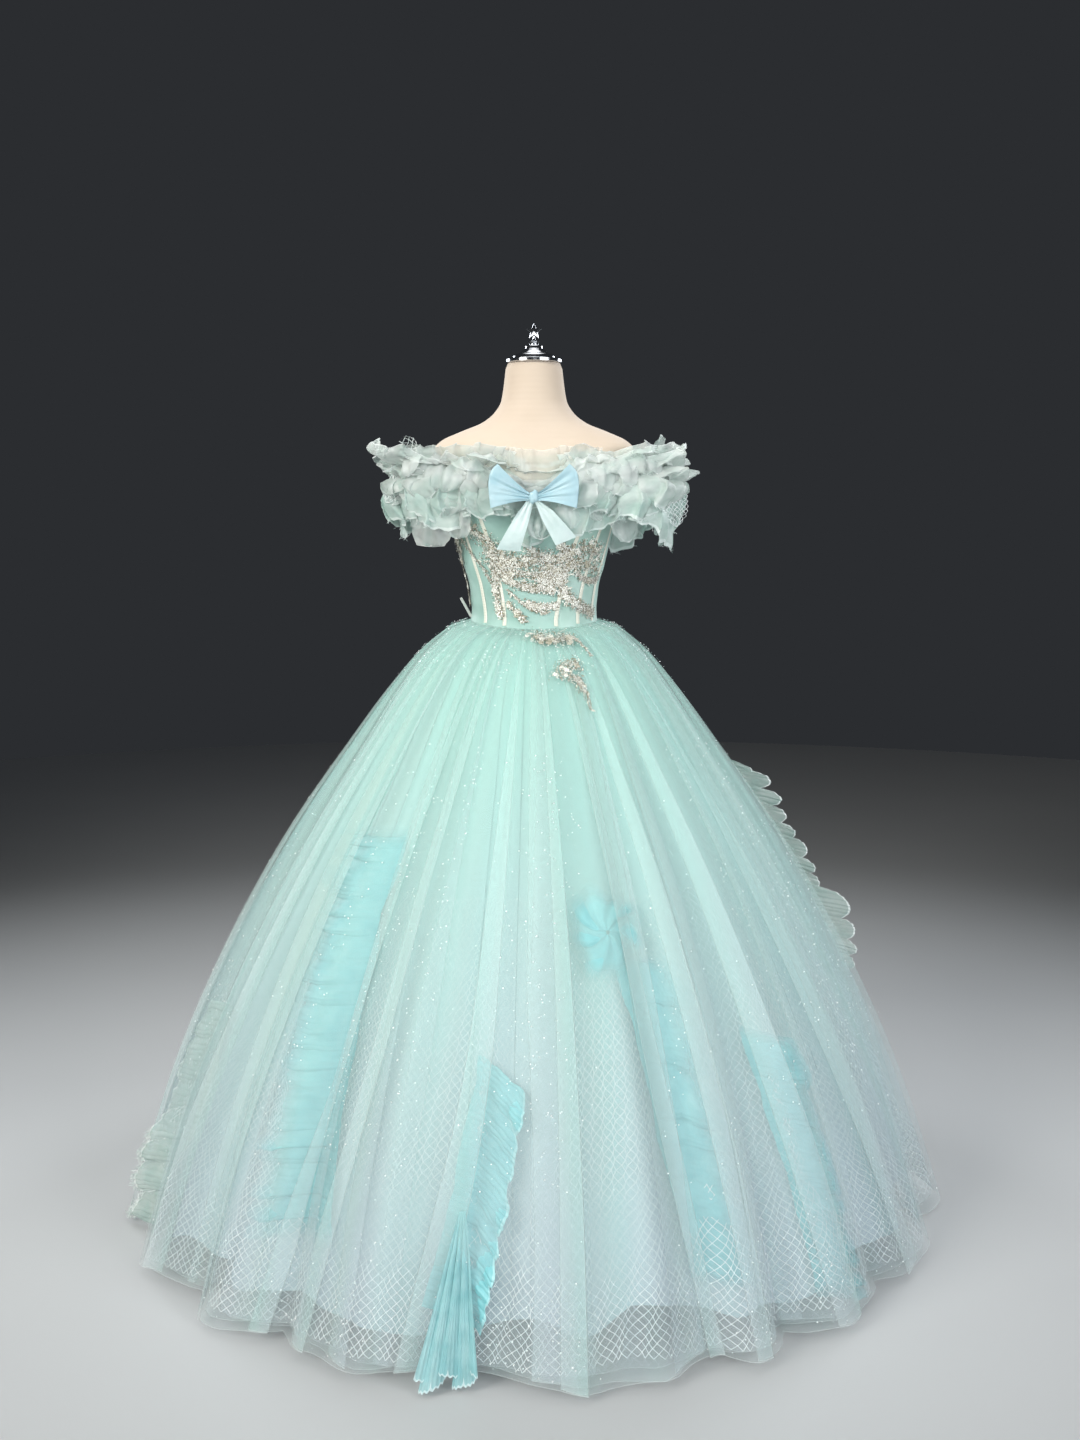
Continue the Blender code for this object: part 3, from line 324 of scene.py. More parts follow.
def make_threads(name, colour, shade, roughness=0.5, metallic=0.0, size=6.0):
    """Yarn or fine flakes: two tones that change softly from one thread to the next."""
    material, tree, shader, place = start_finish(name, Roughness=roughness, Metallic=metallic)
    paint(tree, shader, spread(tree, speckle(tree, place, size, 1.0), 0.40, 0.60), colour, shade)
    return material


def make_embroidery(name, colour, shade, dark, roughness, metallic=0.0):
    """Embroidered or sewn-on pieces: UV X is each piece's own tone, and a share of them is dark.
    On sequins the light and dark tones are painted glints and painted dark reflections.
    """
    material, tree, shader, place = start_finish(name, Roughness=roughness, Metallic=metallic)
    tone = cloth_place(tree)[1]["X"]
    paint(tree, shader, spread(tree, tone, dark + 0.15, dark - 0.15), colour, shade)
    add_relief(tree, shader, speckle(tree, place, 1.5), 0.0002)
    return material


# ---- cloth and small pieces as meshes ------------------------------------------------------

def down_shares(count, first=0.0, last=1.0):
    """Return even steps that run down a grid of cloth."""
    return np.linspace(first, last, count)[:, None]


def round_shares(count, first=0.0, last=1.0):
    """Return even steps that run round a grid of cloth."""
    return np.linspace(first, last, count)[None, :]


def as_points(x, y, z):
    """Join three coordinates into points."""
    return np.stack(np.broadcast_arrays(x, y, z), axis=-1)


def unit(ways):
    """Return directions at length 1."""
    return ways / np.linalg.norm(ways, axis=-1, keepdims=True)


def link_object(name, data):
    """Add an object to the scene."""
    made = bpy.data.objects.new(name, data)
    bpy.context.scene.collection.objects.link(made)
    return made


def add_mesh(name, points, faces, material, uvs=None):
    """Add one smooth mesh that rides with the form and the gown."""
    mesh = bpy.data.meshes.new(name)
    mesh.from_pydata(np.asarray(points).tolist(), [], np.asarray(faces).tolist())
    mesh.shade_smooth()
    if uvs is not None:
        layer = mesh.uv_layers.new(name="cloth")
        layer.data.foreach_set("uv", np.asarray(uvs, np.float32)[np.asarray(faces).ravel()].ravel())
    mesh.materials.append(material)
    piece = link_object(name, mesh)
    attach(piece, "root")
    return piece


def grid_faces(rows, columns, closed=False, first=0):
    """Return the four-sided faces of a grid whose points are numbered from the first."""
    index = first + np.arange(rows * columns).reshape(rows, columns)
    if closed:                                    # the last faces end on the first column
        index = np.concatenate([index, index[:, :1]], axis=1)
    corners = index[:-1, :-1], index[1:, :-1], index[1:, 1:], index[:-1, 1:]
    return np.stack(corners, axis=-1).reshape(-1, 4)


def cloth_uvs(grid, edges):
    """Return metres along a row and the edge value of each point."""
    along = np.cumsum(np.linalg.norm(np.diff(grid, axis=1, prepend=grid[:, :1]), axis=2), axis=1)
    return np.stack([along, edges], axis=-1).reshape(-1, 2)


def add_cloth(name, grid, material, closed=False, edges=None):
    """Add a one-layer sheet from a grid whose rows run down and columns run round. UV holds metres
    along a row, and each point's share of the way down or its own edge value."""
    rows, columns = grid.shape[:2]
    if edges is None:
        edges = np.broadcast_to(down_shares(rows), (rows, columns))
    faces = grid_faces(rows, columns, closed)
    return add_mesh(name, grid.reshape(-1, 3), faces, material, cloth_uvs(grid, edges))


def join_grids(name, grids, shares, material):
    """Join several grids of cloth into one mesh, each with its own edge values."""
    points = np.concatenate([grid.reshape(-1, 3) for grid in grids])
    firsts = np.cumsum([0] + [grid.shape[0] * grid.shape[1] for grid in grids])
    faces = np.concatenate([grid_faces(*grid.shape[:2], first=first) for grid, first in zip(grids, firsts)])
    uvs = np.concatenate([cloth_uvs(*pair) for pair in zip(grids, shares)])
    return add_mesh(name, points, faces, material, uvs)


def dress(piece, slot, *nodes):
    """Put a piece in place of the CAD nodes that it stands for, which are hidden; slot is not used."""
    if nodes:
        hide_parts(*nodes)
    return piece


def add_strands(name, starts, ends, normals, width, material):
    """Add flat threads as one mesh, each from a start to an end, facing along its normal."""
    side = np.cross(normals, ends - starts)
    side *= np.asarray(width).reshape(-1, 1) / 2.0 / (np.linalg.norm(side, axis=1, keepdims=True) + 1e-12)
    points = np.stack([starts - side, ends - side, ends + side, starts + side], axis=1).reshape(-1, 3)
    return add_mesh(name, points, np.arange(len(points)).reshape(-1, 4), material)


def add_copies(name, pattern, faces, places, rights, ups, outs, sizes, material):
    """Add copies of a small pattern as one mesh; each copy has its own axes, size and tone."""
    sizes = np.asarray(sizes).reshape(-1, 1, 1)
    points = (places[:, None] + sizes * (pattern[None, :, 0:1] * rights[:, None]
              + pattern[None, :, 1:2] * ups[:, None] + pattern[None, :, 2:3] * outs[:, None]))
    faces = np.asarray(faces)
    shift = (np.arange(len(places)) * len(pattern))[:, None, None]
    tones = np.random.default_rng(len(places)).random(len(places)).repeat(len(pattern))
    return add_mesh(name, points.reshape(-1, 3), (faces[None] + shift).reshape(-1, faces.shape[1]), material,
                    np.stack([tones, tones], axis=-1))


# ---- curves and random values --------------------------------------------------------------

def ease(part):
    """Turn an even step from 0 to 1 into a soft one."""
    return part * part * (3.0 - 2.0 * part)


def ramp(value, low, high):
    """Rise softly from 0 to 1 between two values, or fall where the second one is lower."""
    return ease(np.clip((np.asarray(value, float) - low) / (high - low), 0.0, 1.0))


def swell(value, middle, width):
    """Rise softly to 1 at the middle and fall again."""
    return np.exp(-((value - middle) / width) ** 2)


def smooth(at, knots, values):
    """Read a table along a smooth curve that doesn't overshoot its rows."""
    knots, values = np.asarray(knots, float), np.asarray(values, float)
    step = np.diff(knots)
    slope = np.diff(values) / step
    tangent = np.concatenate([slope[:1], slope[1:], slope[-1:]])
    turns = slope[:-1] * slope[1:] > 0.0
    total = np.where(turns, slope[:-1] + slope[1:], 1.0)
    tangent[1:-1] = np.where(turns, 2.0 * slope[:-1] * slope[1:] / total, 0.0)
    at = np.clip(at, knots[0], knots[-1])
    row = np.clip(np.searchsorted(knots, at, side="right") - 1, 0, len(step) - 1)
    part = (at - knots[row]) / step[row]
    return (values[row] * (1.0 + 2.0 * part) * (1.0 - part) ** 2
            + tangent[row] * step[row] * part * (1.0 - part) ** 2
            + values[row + 1] * part ** 2 * (3.0 - 2.0 * part)
            + tangent[row + 1] * step[row] * part ** 2 * (part - 1.0))


def wander(at, length, seed, closed=None):
    """Return smooth random values from -1 to 1 along a line, changing once a length. A closed line
    comes back to its start after so much."""
    count = max(3, int(round(closed / length))) if closed else 4096
    values = np.random.default_rng(seed).uniform(-1.0, 1.0, count)
    at = np.asarray(at, float)
    spot = at / closed * count if closed else at / length + 1000.0
    first = np.floor(spot).astype(int)
    part = ease(spot - first)
    return values[first % count] * (1.0 - part) + values[(first + 1) % count] * part


def wander_round(angle, length, seed):
    """Return smooth random values from -1 to 1 round the body."""
    return wander(angle, length, seed, 360.0)


def crumple(points, size, seed):
    """Return smooth random values from -1 to 1 at places in space, changing once a size."""
    table = np.random.default_rng(seed).uniform(-1.0, 1.0, (16, 16, 16))
    spot = points / size + 64.0
    first = np.floor(spot).astype(int)
    part = ease(spot - first)
    total = 0.0
    for corner in np.ndindex(2, 2, 2):
        weight = np.prod(np.where(corner, part, 1.0 - part), axis=-1)
        cell = (first + corner) % 16
        total = total + weight * table[cell[..., 0], cell[..., 1], cell[..., 2]]
    return total


def crush(points, soft, crease, seed):
    """Return how crushed organza leaves its smooth shape: soft lumps and sharp creases, in metres."""
    lumps, turns = (np.stack([crumple(points, size, start + axis) for axis in range(3)], axis=-1)
                    for size, start in ((0.030, seed), (0.016, seed + 5)))
    return soft * lumps + crease * (1.0 - 2.6 * np.abs(turns))


# ---- surfaces of the form and the skirt ----------------------------------------------------

def folded_angle(angle):
    """Bring an angle into -180 to 180 degrees."""
    return (np.asarray(angle, float) + 180.0) % 360.0 - 180.0


def axis_distance(points):
    """Return how far points lie from the body's axis."""
    return np.hypot(points[..., 0], points[..., 1])


def torso_point(angle, height, out=0.0):
    """Return points at an angle and a height, level with the form or outward of it."""
    angle, height, out = np.broadcast_arrays(np.asarray(angle, float), height, out)
    heights, widths, fronts, backs = zip(*TORSO)
    turn = np.radians(angle)
    width = smooth(height, heights, widths)
    depth = np.where(np.cos(turn) > 0.0, smooth(height, heights, fronts), smooth(height, heights, backs))
    across, along = depth * np.sin(turn), -width * np.cos(turn)
    size = np.hypot(across, along)
    bust = BUST_RISE * swell(height, BUST_HEIGHT, BUST_TALL)
    reach = out + swell(np.abs(folded_angle(angle)), BUST_ANGLE, BUST_SPREAD) * bust
    return as_points(width * np.sin(turn) + across / size * reach,
                     -depth * np.cos(turn) + along / size * reach, height)


def waist_height(angle):
    """Return the height of the waist seam, which dips at the front."""
    return WAIST_SIDE - WAIST_DIP * ((1.0 + np.cos(np.radians(angle))) / 2.0) ** 3


def bodice_top(angle):
    """Return the height of the bodice's upper edge."""
    return smooth(np.abs(folded_angle(angle)), *zip(*BODICE_TOP))


def leaning_angle(waist_angle, top_angle, height):
    """Return the angle of a seam that leans as it rises."""
    share = np.clip((height - WAIST_SIDE) / (BODICE_TOP[1][1] - WAIST_SIDE), 0.0, 1.0)
    return waist_angle + (top_angle - waist_angle) * share


def three_way(angle, values):
    """Blend a front, a side and a back value round the body."""
    front, side, back = values
    turn = np.radians(angle)
    end = np.where(np.cos(turn) > 0.0, front, back)
    return end + (side - end) * np.sin(turn) ** 2


def arm_room(angle):
    """Return how far the sleeve stands off the form at an angle."""
    away = np.abs(np.abs(folded_angle(angle)) - 90.0) / ARM_SPAN
    return ARM_ROOM * ramp((1.0 - away) / ARM_RISE, 0.0, 1.0)


def fold_depth(angle):
    """Return how far the skirt's folds lie inward at an angle: 0 on a crest, up to 1 in a valley."""
    edges = np.array(VALLEYS + (VALLEYS[0] + 360.0,))
    turn = (np.asarray(angle, float) - edges[0]) % 360.0 + edges[0]
    fold = np.clip(np.searchsorted(edges, turn, side="right") - 1, 0, len(VALLEYS) - 1)
    widths = np.diff(edges)
    share = (turn - edges[fold]) / widths[fold]
    strength = np.minimum(1.0, widths / FULL_FOLD) ** 0.7
    near = np.where(share < 0.5, strength[fold], strength[(fold + 1) % len(VALLEYS)])
    return (1.0 - np.sin(np.pi * np.clip(share, 0.0, 1.0)) ** 0.9) * near


def ripple(angle, down, seed):
    """Return small folds between the main ones: fine gathers at the waist, wide ones at the hem.
    The layers share the wide ones and differ a little in the rest."""
    angle, down = np.broadcast_arrays(np.asarray(angle, float), down)
    turn = np.radians(angle)
    total = np.zeros_like(turn)
    for step, (count, size, own) in enumerate(((29, 0.0068, 0), (47, 0.0040, 0), (71, 0.0020, seed))):
        phase = 2.4 * wander_round(angle + 5.0 * down, 40.0, 11 + own + step)
        total += size * np.sin(count * turn + phase + 0.5 * step) * ramp(down, 1.5, 8.0)
    for step, (count, size) in enumerate(((118, 0.0007), (173, 0.0004))):
        total += size * np.sin(count * turn + 2.0 * step + seed) * (1.0 - ramp(down, 0.3, 3.0))
    return total * (1.0 + 0.5 * wander_round(angle, 25.0, 20))


def skirt_point(angle, down, deep=0.0, out=0.0):
    """Return points of the skirt. down is the row, 0 at the seam and 8 on the floor; deep is the
    layer, 0 overlay, 1 net, 2 lining; out is a distance outward of it."""
    angle, down, deep, out = np.broadcast_arrays(np.asarray(angle, float), down, deep, out)
    turn = np.radians(angle)
    rows = np.arange(1, len(SKIRT) + 1)
    height, radius, ratio, follow, fold, veil, under, sink = (
        smooth(np.maximum(down, 1.0), rows, column) for column in zip(*SKIRT))
    room = np.minimum(deep, 1.0) * (veil + CLOTH) + np.maximum(deep - 1.0, 0.0) * (under + CLOTH)
    reach = radius - fold * fold_depth(angle) + (out - room) * (1.0 - sink)
    level = height - (WAIST_SIDE - waist_height(angle)) * follow + (out - room) * sink
    body = as_points(reach * np.sin(turn), -reach * ratio * np.cos(turn), level)
    drop, start = (np.interp(deep, (0, 1, 2), values) for values in (SEAM_DROPS, SEAM_OUTS))
    seam = torso_point(angle, waist_height(angle) - drop, start + 0.3 * np.maximum(out, 0.0))
    return seam + (body - seam) * np.clip(down, 0.0, 1.0)[..., None]


def row_of_height(height):
    """Return the skirt's row at a height."""
    fine = np.linspace(1.0, len(SKIRT), 400)
    levels = smooth(fine, np.arange(1, len(SKIRT) + 1), [row[0] for row in SKIRT])
    return np.interp(-np.asarray(height, float), -levels, fine)


def surface_axes(point, angle, row, step=0.01):
    """Return places on a surface with their unit axes: round, up and outward."""
    round_ = unit(point(angle + 0.5, row) - point(angle - 0.5, row))
    down = point(angle, row + step) - point(angle, row - step)
    down = unit(down - round_ * (down * round_).sum(axis=-1, keepdims=True))
    if np.mean(down[..., 2]) > 0.0:
        down = -down
    return point(angle, row), round_, -down, np.cross(down, round_)


# ---- dress form ----------------------------------------------------------------------------

def add_form():
    """Dress the torso, the neck cap, the star and the stand."""
    jersey, chrome = make_jersey(), make_metal("chromed_cap", "#E4E6EA", 0.12)
    rows = np.arange(len(TORSO))
    level = smooth(np.linspace(0.0, rows[-1], TORSO_RINGS), rows, [row[0] for row in TORSO])[::-1]
    angles = np.linspace(0.0, 360.0, TORSO_SIDES, endpoint=False)
    grid = torso_point(angles, level[:, None])
    grid[0] = torso_point(angles, level[0], -NECK_ROUNDING)
    lid, end = (np.repeat(ring.mean(axis=0)[None], TORSO_SIDES, axis=0)[None] for ring in (grid[0], grid[-1]))
    body = np.concatenate([lid, grid, grid[-1:] * 0.5 + end * 0.5, end])
    dress(add_cloth("jersey_torso", body, jersey, closed=True), "jersey", "form_torso")

    radius, height = np.array(CAP_PROFILE[::-1]).T[..., None]
    turn = np.linspace(0.0, 2.0 * np.pi, CAP_SIDES, endpoint=False)
    grid = as_points(radius * np.cos(turn), radius * np.sin(turn), NECK_TOP + height)
    cap = add_cloth("turned_neck_cap", grid, chrome, closed=True)
    cap.data.set_sharp_from_angle(angle=math.radians(50.0))
    dress(cap, "chrome", "form_neck_cap")

    centre = NECK_TOP + CAP_PROFILE[-1][1] + STAR_SEAT
    turn = np.pi / 2.0 + np.pi * np.arange(2 * STAR_POINTS) / STAR_POINTS
    reach = np.where(np.arange(2 * STAR_POINTS) % 2 == 0, STAR_OUTER, STAR_INNER)
    rings = [as_points(scale * reach * np.cos(turn), depth / 2.0, centre + scale * reach * np.sin(turn))
             for scale, depth in STAR_RINGS]
    star = add_cloth("cast_star", np.array(rings)[:, ::-1], chrome, closed=True)
    star.data.set_sharp_from_angle(angle=math.radians(25.0))
    dress(star, "chrome", "form_finial")

    painted = make_metal("painted_steel_stand", "#3A3B3D", 0.45)
    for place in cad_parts["form_stand"].material_slots:
        place.material = painted


# ---- bodice --------------------------------------------------------------------------------

def tape_grid(waist_angle, top_angle):
    """Return a boning tape: a narrow band with a low crown that leans with its seam."""
    angle, down = np.full((64, 1), float(waist_angle)), down_shares(64)
    for _ in range(3):                            # height and angle depend on each other
        top = np.minimum(bodice_top(angle) - 0.004, TAPE_TOP)
        height = top + (waist_height(angle) + 0.0012 - top) * down
        angle = leaning_angle(waist_angle, top_angle, height)
    speed = np.linalg.norm(torso_point(angle + 0.5, height) - torso_point(angle - 0.5, height), axis=-1)
    across = round_shares(7, -0.5, 0.5)
    crown = TAPE_CROWN * (1.0 - (2.0 * across) ** 4) + 0.0002
    return torso_point(angle + TAPE_WIDTH * across / speed, height, TAPE_OUT - 0.0002 + crown)


def panel_grid(number, low_first, high_first, low_last, high_last):
    """Return a bodice panel, drawn in along its seams and pulled a little between them."""
    columns = int(max(low_last - low_first, high_last - high_first) / 1.4)
    side, share = round_shares(columns), down_shares(44)
    angle = np.broadcast_to(low_first + (low_last - low_first) * side, (44, columns))
    for _ in range(4):                            # height and angle depend on each other
        top = bodice_top(angle) - 0.016 * (1.0 - ramp(np.abs(folded_angle(angle)), 4.0, 18.0))
        height = top + (waist_height(angle) - 0.005 - top) * share
        left, right = leaning_angle(low_first, high_first, height), leaning_angle(low_last, high_last, height)
        angle = left + (right - left) * side
    seam = np.minimum(side, 1.0 - side) * np.abs(right - left) * 2.2
    pull = 0.0007 * wander(height * 1000.0 + 0.25 * angle, 17.0, 40 + number) * ramp(seam, 0.0, 8.0)
    return torso_point(angle, height, BODICE_OUT + PANEL - 0.0010 * swell(seam, 0.0, 2.0) + pull)


def add_bodice(loop):
    """Dress the seven satin panels and the five boning tapes; loop, the hanging loop, is not used."""
    satin = make_satin("mint_duchess_satin", "#ACCFC6", "#9EC3B9", 0.36, 4.0)
    pale = make_satin("pale_mint_organza_panel", "#BFDCD3", "#A9CCC0", 0.40, 3.0)
    tape_cloth = make_tape_cloth()
    tapes = [dress(add_cloth(f"tape_{name}", tape_grid(*ends), tape_cloth), "channel", f"boning_{name}")
             for name, *ends in TAPES]
    for number, (name, *ends) in enumerate(PANELS):
        grid = panel_grid(number, *ends)
        panel = dress(add_cloth("satin_" + name, grid, pale if "right" in name else satin), "bodice", name)


# ---- lace ----------------------------------------------------------------------------------

# Sprigs of the lace: name, points as angle and height, half width of the band, flowers, leaves.
LACE_VINES = (
    ("shoulder", ((-78, 1.196), (-73, 1.254), (-64, 1.276), (-47, 1.260), (-36, 1.238), (-26, 1.212),
                  (-18, 1.190)), 0.017, 26, 110),
    ("side_line", ((-80, 1.268), (-70, 1.252), (-56, 1.218), (-42, 1.178), (-36, 1.150)), 0.003, 0, 34),
    ("side_seam", ((-80, 1.258), (-81, 1.215), (-81, 1.160), (-80, 1.118)), 0.004, 3, 30),
    ("main", ((-40, 1.218), (-30, 1.206), (-18, 1.196), (-6, 1.202), (4, 1.208), (13, 1.202), (24, 1.206),
              (36, 1.220), (48, 1.224), (60, 1.212)), 0.016, 34, 140),
    ("under_main", ((-36, 1.196), (-22, 1.180), (-8, 1.178), (4, 1.174), (14, 1.178), (26, 1.190),
                    (42, 1.194), (62, 1.186)), 0.013, 20, 110),
    ("heart", ((4, 1.172), (12, 1.162), (22, 1.162), (24, 1.174), (14, 1.182)), 0.012, 6, 90),
    ("bow_point", ((-8, 1.240), (-4, 1.226), (2, 1.214)), 0.007, 3, 26),
    ("bow_point_right", ((18, 1.232), (24, 1.222), (30, 1.212)), 0.008, 3, 30),
    ("tape_left", ((-33, 1.190), (-34, 1.165), (-35, 1.140), (-33, 1.116), (-30, 1.098)), 0.006, 7, 44),
    ("mid", ((-27, 1.176), (-18, 1.162), (-6, 1.154), (6, 1.151), (18, 1.146)), 0.007, 8, 70),
    ("low_vine", ((-24, 1.150), (-16, 1.136), (-8, 1.122), (2, 1.112), (12, 1.106)), 0.0015, 0, 30),
    ("low", ((-8, 1.124), (2, 1.120), (12, 1.118), (22, 1.122)), 0.006, 7, 40),
    ("low_left", ((-24, 1.126), (-18, 1.114), (-12, 1.100), (-7, 1.090)), 0.006, 4, 12),
    ("right_side", ((24, 1.150), (32, 1.134), (42, 1.120), (54, 1.110), (66, 1.104)), 0.010, 12, 80),
    ("right_curve", ((36, 1.180), (46, 1.168), (58, 1.164), (68, 1.172)), 0.005, 3, 36),
)
# The same on the skirt, as angle and row.
TAIL_VINES = (
    ("waist_cluster", ((-2, 0.98), (6, 1.18), (15, 1.26), (24, 1.14)), 0.017, 12, 44),
    ("tail_line", ((24, 1.1), (27, 1.5), (28.6, 2.03)), 0.0012, 0, 14),
    ("tail_fan", ((10, 2.58), (13, 2.32), (17, 2.18), (21.5, 2.38)), 0.014, 4, 20),
    ("tail_fill", ((13, 2.42), (16, 2.54), (18.5, 2.68), (20, 2.90)), 0.011, 2, 16),
    ("tail_point", ((17.5, 2.55), (19.3, 2.80), (20.8, 3.22)), 0.005, 0, 10),
)
# Parts of the lace: kind, count for each flower and each leaf of a vine, size, share of the band
# that they keep to, how far they tilt, how high they lie.
LACE_PARTS = (
    ("flowers", 1.4, 0.0, 0.0050, 0.6, 0.06, 0.0004), ("leaves", 0.0, 1.2, 0.0060, 1.0, 0.06, 0.0004),
    ("sequins", 14.0, 10.0, 0.00105, 1.0, 0.18, 0.0012),
)
THIN_VINE = 0.004                                 # a narrower vine has one cord, a wider one has two


def flower_pattern():
    """Return a five-petalled embroidered flower, one unit in radius, cupped toward its rim."""
    turn = np.linspace(0.0, 2.0 * np.pi, 30, endpoint=False)
    petal, wave = 0.62 + 0.38 * np.abs(np.cos(2.5 * turn)) ** 0.7, 0.06 * np.cos(5.0 * turn)
    rings = [as_points(ring * petal * np.cos(turn), ring * petal * np.sin(turn), rise + wave)
             for ring, rise in ((0.16, 0.30), (0.45, 0.10), (0.80, 0.22), (1.0, 0.12))]
    return np.concatenate(rings), grid_faces(len(rings), len(turn), closed=True)


def leaf_pattern():
    """Return a pointed leaf, one unit long, with a raised middle vein."""
    along = np.linspace(0.0, 1.0, 6)
    half = 0.24 * np.sin(np.pi * along ** 0.8) + 0.01
    lines = [as_points(side * half, along, 0.10 * (1.0 - side ** 2) + 0.05) for side in (-1.0, 0.0, 1.0)]
    return np.concatenate(lines), grid_faces(len(lines), len(along))


def sequin_pattern():
    """Return a cupped sequin, one unit in radius."""
    turn = np.linspace(0.0, 2.0 * np.pi, 6, endpoint=False)
    points = np.concatenate([[[0.0, 0.0, 0.05]], as_points(np.cos(turn), np.sin(turn), 0.35)])
    return points, [(0, 1 + side, 1 + (side + 1) % 6) for side in range(6)]


def along_vine(points, count, half, source, keep):
    """Return angles, rows, headings and offsets at random places in a band along a vine."""
    points = np.array(points, float)
    knots = np.linspace(0.0, 1.0, len(points))

    def read(at):
        return smooth(at, knots, points[:, 0]), smooth(at, knots, points[:, 1])

    at = np.sort(source.uniform(0.0, 1.0, count))
    ahead = np.clip(at + 0.02, 0.0, 1.0)
    heading = [front - rear for front, rear in zip(read(ahead), read(ahead - 0.04))]
    aside = source.normal(0.0, 0.55, count).clip(-1.2, 1.2) * half * keep
    return *read(at), heading, aside, source.normal(0.0, 0.35, count) * half


def add_lace(name, vines, point, metre_per_row, finishes, node, lift):
    """Embroider flowers, leaves, sequins and vine cords along each vine of a lace piece."""
    patterns = {"flowers": flower_pattern(), "leaves": leaf_pattern(), "sequins": sequin_pattern()}
    gathered = {kind: [] for kind in (*patterns, "cords")}
    source = np.random.default_rng(len(name) * 17)
    for _, points, half, flowers, leaves in vines:
        for kind, by_flower, by_leaf, scale, keep, lean, stand in LACE_PARTS:
            count = int(flowers * by_flower + leaves * by_leaf)
            if not count:
                continue
            angle, level, heading, aside, along = along_vine(points, count, half + 0.0008, source, keep)
            here, round_, up, out = surface_axes(point, angle, level)
            radius = np.maximum(axis_distance(here), 0.08)
            ahead = np.stack([heading[0] * np.radians(1.0) * radius, heading[1] * metre_per_row])
            round_way, up_way = ahead / (np.linalg.norm(ahead, axis=0) + 1e-9)
            shift = (round_ * (-up_way * aside + round_way * along)[:, None]
                     + up * (round_way * aside + up_way * along)[:, None])
            turn = source.uniform(0.0, 2.0 * np.pi, count)
            if kind == "leaves":                  # leaves point ahead, to either side of the vine
                turn = (np.arctan2(up_way, round_way) - np.pi / 2.0
                        + np.where(source.random(count) < 0.5, 0.75, -0.75) + source.normal(0.0, 0.25, count))
            right = round_ * np.cos(turn)[:, None] + up * np.sin(turn)[:, None]
            rise = -round_ * np.sin(turn)[:, None] + up * np.cos(turn)[:, None]
            tilt = source.normal(0.0, lean, (count, 2))
            normal = out + right * tilt[:, :1] + rise * tilt[:, 1:]
            size = scale * source.uniform(0.75, 1.2, count)
            gathered[kind].append((here + shift + out * (lift + stand), right, rise, normal, size))
        fine, knots = np.linspace(0.0, 1.0, 60), np.linspace(0.0, 1.0, len(points))
        line = np.array(points, float).T
        for shift in (0.0,) if half < THIN_VINE else (-0.45, 0.5):
            angle = smooth(fine, knots, line[0]) + shift * half * 320.0 * np.sin(9.0 * fine + 2.0 * shift)
            level = smooth(fine, knots, line[1]) + shift * half * 0.8 / metre_per_row * np.cos(11.0 * fine)
            here, _, _, out = surface_axes(point, angle, level)
            cord = here + out * (lift + 0.0006)
            gathered["cords"].append((cord[:-1], cord[1:], out[:-1]))
    joined = {kind: [np.concatenate(values) for values in zip(*rows)] for kind, rows in gathered.items()}
    for kind, pattern in patterns.items():
        piece = add_copies(f"{name}_{kind}", *pattern, *joined[kind], finishes[kind])
        dress(piece, "lace", *([node] if kind == "flowers" else []))
    dress(add_strands(f"{name}_cords", *joined["cords"], 0.0016, finishes["cords"]), "lace")


def add_laces():
    """Add the lace of the bodice's front and its tail on the skirt."""
    finishes = {
        "flowers": make_embroidery("ivory_embroidered_flowers", "#F9F9EF", "#BAB5A0", 0.42, 0.40),
        "leaves": make_embroidery("silver_beige_embroidered_leaves", "#E8E8DA", "#8E8872", 0.52, 0.40, 0.1),
        # Silver sequins: their near-white and dark taupe tones are painted glints and painted dark
        # reflections.
        "sequins": make_embroidery("silver_sequins_painted_glints", "#FFFFF8", "#8C8570", 0.50, 0.20, 0.2),
        "cords": make_threads("twisted_bronze_cord", "#B5AC9A", "#968C7B", 0.45, 0.1, 4.0),
    }
    add_lace("lace", LACE_VINES, torso_point, 1.0, finishes, "lace_front", LACE_OUT)
    add_lace("lace_tail", TAIL_VINES, skirt_point, -0.08, finishes, "lace_tail", TRIM_OUT)


# ---- collar --------------------------------------------------------------------------------

